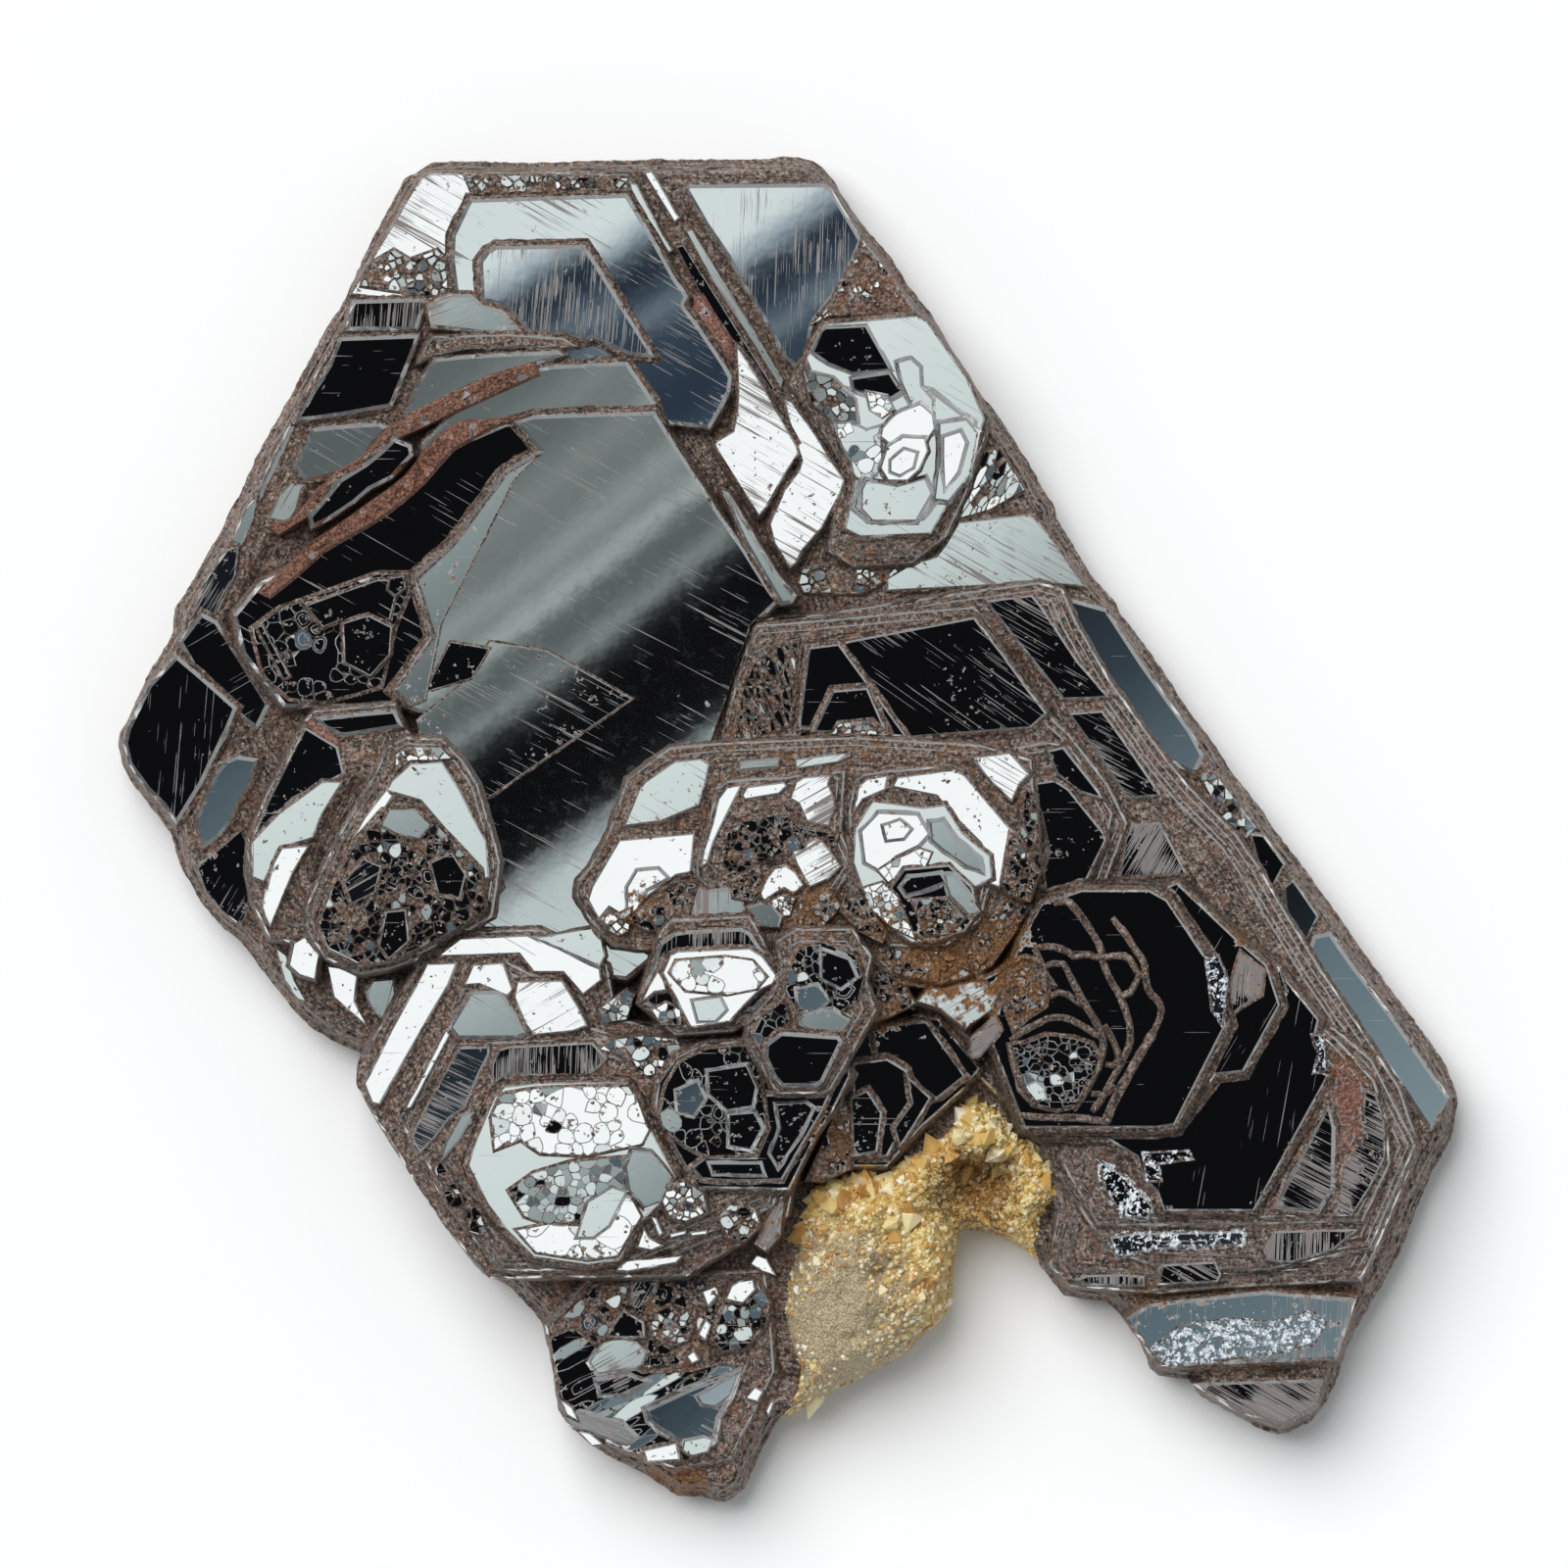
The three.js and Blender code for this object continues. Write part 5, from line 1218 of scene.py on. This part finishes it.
    # mirror faces, a trace of smudge
    face = k.mix(patch, (.88, .91, .915, 1), (.95, .97, .965, 1))
    face = k.mix(k.mul(rim, .4), face, (.42, .37, .345, 1))
    face = k.mix(k.attr("tar"), face, (.10, .095, .10, 1))
    col = k.mix(rough_mask, face, roughc)
    frost = k.attr("frost")
    fw = k.mul(k.ramp(frost, .01, .05), k.ramp(k.add(k.mul(grit, .6), k.add(k.mul(rn, .4), k.mul(k.math("SUBTRACT", frost, .5), .2))), .49, .53))
    col = k.mix(fw, col, k.mix(k.ramp(fine, .38, .62), srgb(158, 172, 186), srgb(246, 249, 250)))
    rough_mask = k.math("MAXIMUM", rough_mask, fw)
    k.put(bs.inputs["Base Color"], col)
    k.put(bs.inputs["Metallic"], k.mixf(rough_mask, 1.0, 0.12))
    smudge = k.ramp(rn, .5, .75, .010, .018)
    rr = k.mixf(rough_mask, smudge, k.ramp(fine, .3, .7, .42, .68))
    rr = k.math("MAXIMUM", rr, k.mul(rim, k.ramp(grit0, .3, .7, .12, .36)))
    k.put(bs.inputs["Roughness"], rr)
    bump = k.new("ShaderNodeBump")
    bump.inputs["Distance"].default_value = 0.00012
    bump.inputs["Strength"].default_value = 0.9
    k.put(bump.inputs["Height"], k.add(k.mul(k.noise(pos, 12.0, 2.0, .65), wall), k.mul(k.noise(pos, .55, 3.0, .5), k.mul(k.math("SUBTRACT", 1.0, wall), .0015))))
    k.put(bs.inputs["Normal"], bump.outputs[0])
    return m


mat_h = hematite_material()
me.materials.append(mat_h)
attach(hem, "root")
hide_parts("hematite_plates")

# ================================================================ matrix
MOUT = P("794,1451 798,1425 806,1400 796,1370 788,1330 798,1295 804,1265 812,1243 820,1215 832,1200 850,1190 875,1188 "
         "900,1196 905,1185 920,1178 935,1163 955,1152 970,1132 990,1117 1006,1119 1025,1128 1042,1146 1062,1160 1080,1178 "
         "1092,1198 1102,1226 1086,1236 1072,1246 1070,1266 1061,1291 1045,1275 1026,1264 1007,1258 992,1256 982,1256 "
         "976,1275 972,1302 972,1335 957,1352 938,1367 927,1382 900,1397 856,1421 817,1440")
if area(MOUT) < 0:
    MOUT = MOUT[::-1].copy()


def hash_noise(seed):
    r = np.random.RandomState(seed)
    tab = r.rand(256, 256)

    def f(p):
        x, y = p[:, 0], p[:, 1]
        xi, yi = np.floor(x).astype(int), np.floor(y).astype(int)
        fx, fy = x - xi, y - yi
        fx, fy = fx * fx * (3 - 2 * fx), fy * fy * (3 - 2 * fy)
        g = lambda a, b: tab[a % 256, b % 256]
        return (g(xi, yi) * (1 - fx) * (1 - fy) + g(xi + 1, yi) * fx * (1 - fy)
                + g(xi, yi + 1) * (1 - fx) * fy + g(xi + 1, yi + 1) * fx * fy)
    return f


NZ = [hash_noise(s) for s in (3, 4, 5, 6)]


def fbm(p, scale, n=4):
    v, a, s = 0, 0.5, scale
    for i in range(n):
        v = v + a * (NZ[i % 4](p * s + 17.3 * i) - .5)
        a *= .5
        s *= 2.03
    return v


# crest, dips and pits: x, y, radius, height
LUMPS = [(1000, 1150, 55, 1.2), (1060, 1200, 45, 1.0), (930, 1210, 50, 1.1), (865, 1225, 45, .9), (900, 1290, 70, 1.1),
         (850, 1320, 70, .9), (960, 1290, 35, .7), (850, 1390, 50, .6), (930, 1350, 45, .6), (1050, 1255, 30, .6)]
PITS = [(1000, 1210, 26, 1.3), (965, 1225, 20, 1.0), (1025, 1195, 18, .9), (985, 1190, 14, .7), (900, 1210, 12, .5), (895, 1300, 10, .4)]


def mat_z(p):
    d = seg_dist(MOUT, p)
    k = np.clip(d / 34.0, 0, 1)
    dome = np.sqrt(np.clip(1 - (1 - k) ** 2, 0, 1))
    z = 1.2 + 2.2 * dome
    for x, y, rr, h in LUMPS:
        z = z + h * np.exp(-((p[:, 0] - x) ** 2 + (p[:, 1] - y) ** 2) / (rr * rr)) * dome
    for x, y, rr, h in PITS:
        z = z - h * np.exp(-((p[:, 0] - x) ** 2 + (p[:, 1] - y) ** 2) / (rr * rr)) * dome
    smooth = np.exp(-((p[:, 0] - 850) ** 2 / 70 ** 2 + (p[:, 1] - 1345) ** 2 / 80 ** 2))
    z = z + (1.5 * fbm(p, 1 / 26.0) + .6 * fbm(p + 50, 1 / 7.0)) * dome * (1 - .65 * smooth)
    return z


def grid_in(poly, step, r, jitter=.35):
    lo, hi = poly.min(0), poly.max(0)
    pts = []
    row = 0
    y = lo[1]
    while y < hi[1]:
        x = lo[0] + (row % 2) * step * .5
        while x < hi[0]:
            pts.append((x + r.uniform(-jitter, jitter) * step, y + r.uniform(-jitter, jitter) * step))
            x += step
        y += step * .866
        row += 1
    pts = np.array(pts)
    return pts[inside(poly, pts) & (seg_dist(poly, pts) > step * .6)]


rm = random.Random(31)
medge = dense(chaikin(MOUT, 1), 3.2, .5, rm)
mpts = grid_in(medge, 3.3, rm)
mv = [Vector((float(a), float(b))) for a, b in np.vstack([medge, mpts])]
ne = len(medge)
mres = delaunay_2d_cdt(mv, [(i, (i + 1) % ne) for i in range(ne)], [], 1, 1e-4)
mp = np.array([(v.x, v.y) for v in mres[0]])
mt = np.array([f for f in mres[2] if len(f) == 3], int)
mz = mat_z(mp)
mvv = [((a - CX) * U, (CY - b) * U, c) for (a, b), c in zip(mp, mz)]
mf = [tuple(t) for t in mt]
mec = {}
for a, b, c in mt:
    for u, v in ((a, b), (b, c), (c, a)):
        key = (u, v) if u < v else (v, u)
        mec.setdefault(key, []).append((u, v))
mn = {}
for key, l in mec.items():
    if len(l) == 1:
        mn[l[0][0]] = l[0][1]
s0 = next(iter(mn))
ml = [s0]
c = mn[s0]
while c != s0:
    ml.append(c)
    c = mn[c]
mrim = mp[ml]
prev = ml
nl = len(ml)
minw = inward(mrim, 5)
for zi, ins_d in ((.9, -.4), (.6, .6), (.3, 2.0), (.1, 3.6), (0.0, 5.4)):
    poly = mrim + minw * ins_d
    s = len(mvv)
    for k in range(nl):
        j = rm.uniform(-.5, .5)
        mvv.append(((poly[k, 0] + j - CX) * U, (CY - poly[k, 1] + rm.uniform(-.5, .5)) * U,
                    zi + (rm.uniform(-.06, .06) if zi > .2 else 0)))
    cur = list(range(s, s + nl))
    for k in range(nl):
        k2 = (k + 1) % nl
        mf.append((prev[k], cur[k], cur[k2]))
        mf.append((prev[k], cur[k2], prev[k2]))
    prev = cur
bot = np.array([[mvv[i][0], mvv[i][1]] for i in prev])
br = delaunay_2d_cdt([Vector((a, b)) for a, b in bot], [(i, (i + 1) % nl) for i in range(nl)], [], 1, 1e-7)
bm_ = {}
for i, o in enumerate(br[3]):
    if o:
        bm_[i] = prev[o[0]]
    else:
        bm_[i] = len(mvv)
        mvv.append((br[0][i].x, br[0][i].y, 0.0))
for f in br[2]:
    cc = np.mean([[br[0][i].x, br[0][i].y] for i in f], 0)
    if inside(bot, cc[None])[0]:
        mf.append(tuple(bm_[i] for i in f)[::-1])
mat_ob = make_mesh("matrix_looks", np.array(mvv) * .001, mf)
for p_ in mat_ob.data.polygons:
    p_.use_smooth = False


# small crystals on the matrix
def crystal_mesh(name, n, seed, poly, size, tall, chooser=None):
    r = random.Random(seed)
    vs, fs, tint = [], [], []
    lo, hi = poly.min(0), poly.max(0)
    made = 0
    tries = 0
    cand = np.array([(r.uniform(lo[0], hi[0]), r.uniform(lo[1], hi[1])) for _ in range(n * 8)])
    cand = cand[inside(poly, cand)]
    cand = np.array([q for q in cand if not chooser or r.random() <= chooser(q)])[:n]
    e = 2.0
    cz = mat_z(cand)
    czx = (mat_z(cand + [e, 0]) - mat_z(cand - [e, 0])) / (2 * e * U)
    czy = -(mat_z(cand + [0, e]) - mat_z(cand - [0, e])) / (2 * e * U)
    for q, z, zx, zy in zip(cand[:, None], cz, czx, czy):
        z, zx, zy = float(z), float(zx), float(zy)
        nrm = Vector((-zx, -zy, 1)).normalized()
        nrm = (nrm + Vector((r.gauss(0, .35), r.gauss(0, .35), r.gauss(0, .2)))).normalized()
        sx = size * (.5 + 1.1 * r.random() ** 2)
        h = sx * tall * r.uniform(.6, 1.4)
        a = nrm.orthogonal().normalized()
        a.rotate(Quaternion(nrm, r.uniform(0, 6.28)))
        b = nrm.cross(a)
        c0 = Vector(((q[0, 0] - CX) * U, (CY - q[0, 1]) * U, z)) - nrm * (h * .35)
        k = r.choice((4, 4, 6))
        knee = .62 if tall < 1.5 else r.uniform(.25, .5)
        s = len(vs)
        fl = r.uniform(.6, 1.0)
        for lev, rad in ((0, 1.0), (knee, 1.0)):
            for i in range(k):
                an = 6.2832 * i / k + .3
                vs.append(c0 + a * (math.cos(an) * sx * rad) + b * (math.sin(an) * sx * rad * fl) + nrm * (h * lev))
        sh = (r.uniform(-.4, .4), r.uniform(-.4, .4))
        top = []
        kt = len(vs)
        vs.append(c0 + a * (sh[0] * sx) + b * (sh[1] * sx) + nrm * h)
        vs.append(c0)
        for i in range(k):
            j = (i + 1) % k
            fs.append((s + i, s + j, s + k + j, s + k + i))
            fs.append((s + k + i, s + k + j, kt))
            fs.append((s + j, s + i, kt + 1))
        tv = r.random()
        tint += [tv] * (3 * k)
        made += 1
    ob = make_mesh(name, np.array([tuple(v) for v in vs]) * .001, fs)
    if len(ob.data.polygons) == len(tint):
        face_attr(ob.data, "tv", tint)
    return ob


def choose(q):
    x, y = q
    sm = math.exp(-((x - 855) ** 2 / 70 ** 2 + (y - 1345) ** 2 / 85 ** 2))
    return max(0.0, 1 - 1.15 * sm)


cry = crystal_mesh("matrix_crystals", 3600, 41, offset(MOUT, -2), .105, 1.05, choose)
TOPS = P("812,1245 820,1215 850,1192 900,1198 935,1165 970,1134 1005,1120 1042,1146 1090,1196")


def crest(q):
    d = float(seg_dist(TOPS, q[None], closed=False)[0])
    return math.exp(-(d / 26.0) ** 2) + .04 * choose(q)


big = crystal_mesh("matrix_big_crystals", 300, 43, offset(MOUT, 1), .33, 1.8, crest)


def matrix_material(name, crystals):
    m, k, bs = new_mat(name)
    geo = k.new("ShaderNodeTexCoord").outputs["Object"]
    sc = k.new("ShaderNodeVectorMath", operation="SCALE")
    k.l.new(geo, sc.inputs[0])
    sc.inputs["Scale"].default_value = 1000.0
    pos = sc.outputs[0]
    sp = k.new("ShaderNodeSeparateXYZ")
    k.l.new(pos, sp.inputs[0])
    x, y, z = sp.outputs
    n1 = k.noise(pos, .55, 2.0, .6)
    n2 = k.noise(pos, 3.0, 3.0, .65)
    n3 = k.noise(pos, 12.0, 2.0, .6)
    base = k.mix(k.ramp(n2, .35, .68), srgb(192, 160, 84), srgb(234, 214, 156))
    base = k.mix(k.ramp(n1, .52, .66, 0, .8), base, srgb(188, 124, 54))
    base = k.mix(k.ramp(n1, .46, .34, 0, .6), base, srgb(186, 174, 100))
    # a plain sandy field at the lower left
    dx, dy = k.mul(k.add(x, -2.0), .30), k.mul(k.add(y, 20.0), .25)
    dist = k.math("SQRT", k.add(k.mul(dx, dx), k.mul(dy, dy)))
    sandy = k.ramp(k.add(dist, k.mul(k.math("SUBTRACT", n2, .5), .9)), .75, 1.25, 1, 0)
    sand = k.mix(k.ramp(n3, .35, .65), srgb(136, 121, 98), srgb(200, 185, 154))
    base = k.mix(k.mul(sandy, .92), base, sand)
    # brown pits near the bay: their brown colour, with painted shade darkening the hollow
    px, py = k.mul(k.add(x, -7.6), .44), k.mul(k.add(y, 14.7), .50)
    pd = k.math("SQRT", k.add(k.mul(px, px), k.mul(py, py)))
    pit_brown_shade = k.ramp(k.add(pd, k.mul(k.math("SUBTRACT", n2, .5), 1.4)), .55, 1.15, .85, 0)
    base = k.mix(pit_brown_shade, base, k.mix(k.ramp(n3, .4, .62), srgb(58, 36, 16), srgb(160, 108, 50)))
    if crystals:
        tv = k.attr("tv")
        tin = k.new("ShaderNodeValToRGB")
        el = tin.color_ramp.elements
        el[0].position, el[0].color = 0.0, srgb(172, 106, 36)
        el[1].position, el[1].color = 1.0, srgb(250, 246, 236)
        for ps, cc in ((.2, srgb(200, 152, 74)), (.48, srgb(222, 198, 132)), (.8, srgb(240, 228, 186))):
            e = el.new(ps)
            e.color = cc
        k.put(tin.inputs[0], tv)
        # in the pits the crystals lose their tint to the dark pit colour: painted shade in the hollow
        base = k.mix(k.mul(k.math("SUBTRACT", 1.0, k.mul(pit_brown_shade, .8)), .75), base, tin.outputs[0])
    k.put(bs.inputs["Base Color"], base)
    bs.inputs["Roughness"].default_value = .22 if crystals else .6
    bs.inputs["IOR"].default_value = 1.54
    bump = k.new("ShaderNodeBump")
    bump.inputs["Distance"].default_value = .0001
    bump.inputs["Strength"].default_value = .25 if crystals else .9
    k.put(bump.inputs["Height"], n3)
    k.put(bs.inputs["Normal"], bump.outputs[0])
    return m


mat_ob.data.materials.append(matrix_material("matrix_rock", False))
mc = matrix_material("matrix_crystal", True)
for o in (cry, big):
    o.data.materials.append(mc)
for o in (mat_ob, cry, big):
    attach(o, "root")
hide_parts("matrix")

# ================================================================ studio
fl = bpy.data.meshes.new("floor")
q = 1.5
fl.from_pydata([(-q, -q, 0), (q, -q, 0), (q, q, 0), (-q, q, 0)], [], [(0, 1, 2, 3)])
floor = bpy.data.objects.new("floor", fl)
bpy.context.scene.collection.objects.link(floor)
floor.location.z = -0.00002
fm, k, bs = new_mat("floor_white")
bs.inputs["Base Color"].default_value = (.93, .93, .93, 1)
bs.inputs["Roughness"].default_value = .9
bs.inputs["Specular IOR Level"].default_value = 0.0
fl.materials.append(fm)

world = bpy.data.worlds.new("studio")
bpy.context.scene.world = world
world.use_nodes = True
k = Nodes(world.node_tree)
k.n.clear()
wo = k.new("ShaderNodeOutputWorld")
bg = k.new("ShaderNodeBackground")
k.l.new(bg.outputs[0], wo.inputs[0])
dirv = k.new("ShaderNodeTexCoord").outputs["Generated"]
sp = k.new("ShaderNodeSeparateXYZ")
k.l.new(dirv, sp.inputs[0])
dx, dy, dz = sp.outputs
tt = k.math("SUBTRACT", k.mul(dx, float(DIR[0])), k.mul(dy, float(DIR[1])))
ss = k.add(k.mul(dx, float(DIR[1])), k.mul(dy, float(DIR[0])))
# stripes straight overhead: bright cards and the dark gap between them
tw = k.add(tt, k.mul(k.math("SINE", k.add(k.mul(ss, 140.0), k.mul(tt, 40.0))), .0004))
rp = k.new("ShaderNodeValToRGB")
k.put(rp.inputs[0], k.ramp(tw, -.10, .10, 0, 1, smooth=False))
STRIPES = [(-100, (.64, .70, .70)), (-83.3, (.68, .74, .74)), (-82.8, (.30, .37, .42)), (-82.3, (.03, .045, .065)), (-81.0, (.012, .018, .03)),
           (-80.4, (.05, .07, .10)), (-79.9, (.20, .25, .28)), (-79.3, (.04, .06, .085)), (-76, (.02, .032, .052)), (-72, (.10, .14, .18)),
           (-67, (.93, .96, .96)), (-50, (1.0, 1.0, 1.0)), (-45, (.72, .78, .77)), (-36, (.58, .65, .64)), (-30, (.30, .35, .35)), (-23, (.095, .112, .112)), (-19.4, (.12, .14, .14)),
           (-17.6, (.22, .25, .245)), (-16.7, (.10, .118, .118)), (-15.8, (.30, .34, .335)), (-14.9, (.17, .20, .195)), (-14.0, (.38, .43, .42)),
           (-13.1, (.03, .034, .036)), (-12.5, (.10, .115, .12)), (-11.9, (.30, .34, .335)), (-11.2, (.02, .022, .024)), (-10.4, (.0045, .0045, .0055)),
           (-5.9, (.0045, .0045, .0055)), (-5.1, (.50, .56, .56)), (6, (.62, .68, .68)), (10, (.0045, .0045, .0055))]
STRIPES2 = [(44, (.0045, .0045, .0055)), (50, (.012, .015, .02)), (55, (.035, .05, .065)), (60, (.11, .15, .175)), (70, (.20, .26, .29)), (80, (.6, .66, .7)),
            (100, (.75, .8, .8))]
rp2 = k.new("ShaderNodeValToRGB")
k.put(rp2.inputs[0], k.ramp(tw, 0, .10, 0, 1, smooth=False))


def fill(node, stops, lo, hi):
    el = node.color_ramp.elements
    el[0].position, el[0].color = (stops[0][0] - lo) / (hi - lo), (*stops[0][1], 1)
    el[1].position, el[1].color = (stops[-1][0] - lo) / (hi - lo), (*stops[-1][1], 1)
    for t, c in stops[1:-1]:
        e = el.new((t - lo) / (hi - lo))
        e.color = (*c, 1)
    node.color_ramp.interpolation = "LINEAR"


fill(rp, STRIPES, -100, 100)
fill(rp2, STRIPES2, 0, 100)
stripes = k.mix(k.ramp(tw, .020, .022), rp.outputs[0], rp2.outputs[0])
# the rest of the studio: large soft boxes around, darker gaps between
az = k.math("ARCTAN2", dy, dx)
box1 = k.ramp(k.math("SINE", k.add(k.mul(az, 2.0), .6)), -.3, .5)
high = k.ramp(dz, .30, .62)
soft = k.mix(box1, (.62, .64, .66, 1), (.98, 1.0, 1.0, 1))
side = k.math("COSINE", k.add(az, -.7))
ringc = k.mix(k.ramp(side, -.6, .9), (.12, .125, .13, 1), (.43, .45, .46, 1))
soft = k.mix(high, soft, ringc)
low = k.ramp(dz, -.02, .10)
soft = k.mix(low, (.92, .92, .92, 1), soft)
# lamps and gaps low down, for the views from the side
band = k.ramp(k.math("SINE", k.add(k.mul(dz, 38.0), k.mul(az, 2.0))), -.35, .35)
inband = k.mul(k.ramp(dz, .06, .14), k.ramp(dz, .66, .74, 1, 0))
soft = k.mix(k.mul(inband, .85), soft, k.mix(band, (.09, .095, .10, 1), (.66, .68, .69, 1)))
zen = k.ramp(dz, .985, .993)
k.put(bg.inputs[0], k.mix(zen, soft, stripes))
bg.inputs[1].default_value = 1.0

sun = bpy.data.lights.new("key", "SUN")
sun.energy = 2.9
sun.angle = math.radians(50)
so = bpy.data.objects.new("key", sun)
so.rotation_euler = (math.radians(-28), math.radians(-24), 0)
so.visible_glossy = False
bpy.context.scene.collection.objects.link(so)

cam = bpy.data.cameras.new("cam")
co_ = bpy.data.objects.new("cam", cam)
bpy.context.scene.collection.objects.link(co_)
co_.location = ((EYE_C[0] - CX) * U * .001, (CY - EYE_C[1]) * U * .001, EYE + .004)
co_.rotation_euler = (0, 0, 0)
cam.sensor_fit = "HORIZONTAL"
cam.sensor_width = 36.0
cam.lens = 36.0 * EYE / (1600 * U * .001)
cam.clip_start, cam.clip_end = .01, 20
bpy.context.scene.camera = co_
bpy.context.scene.view_settings.view_transform = "Standard"
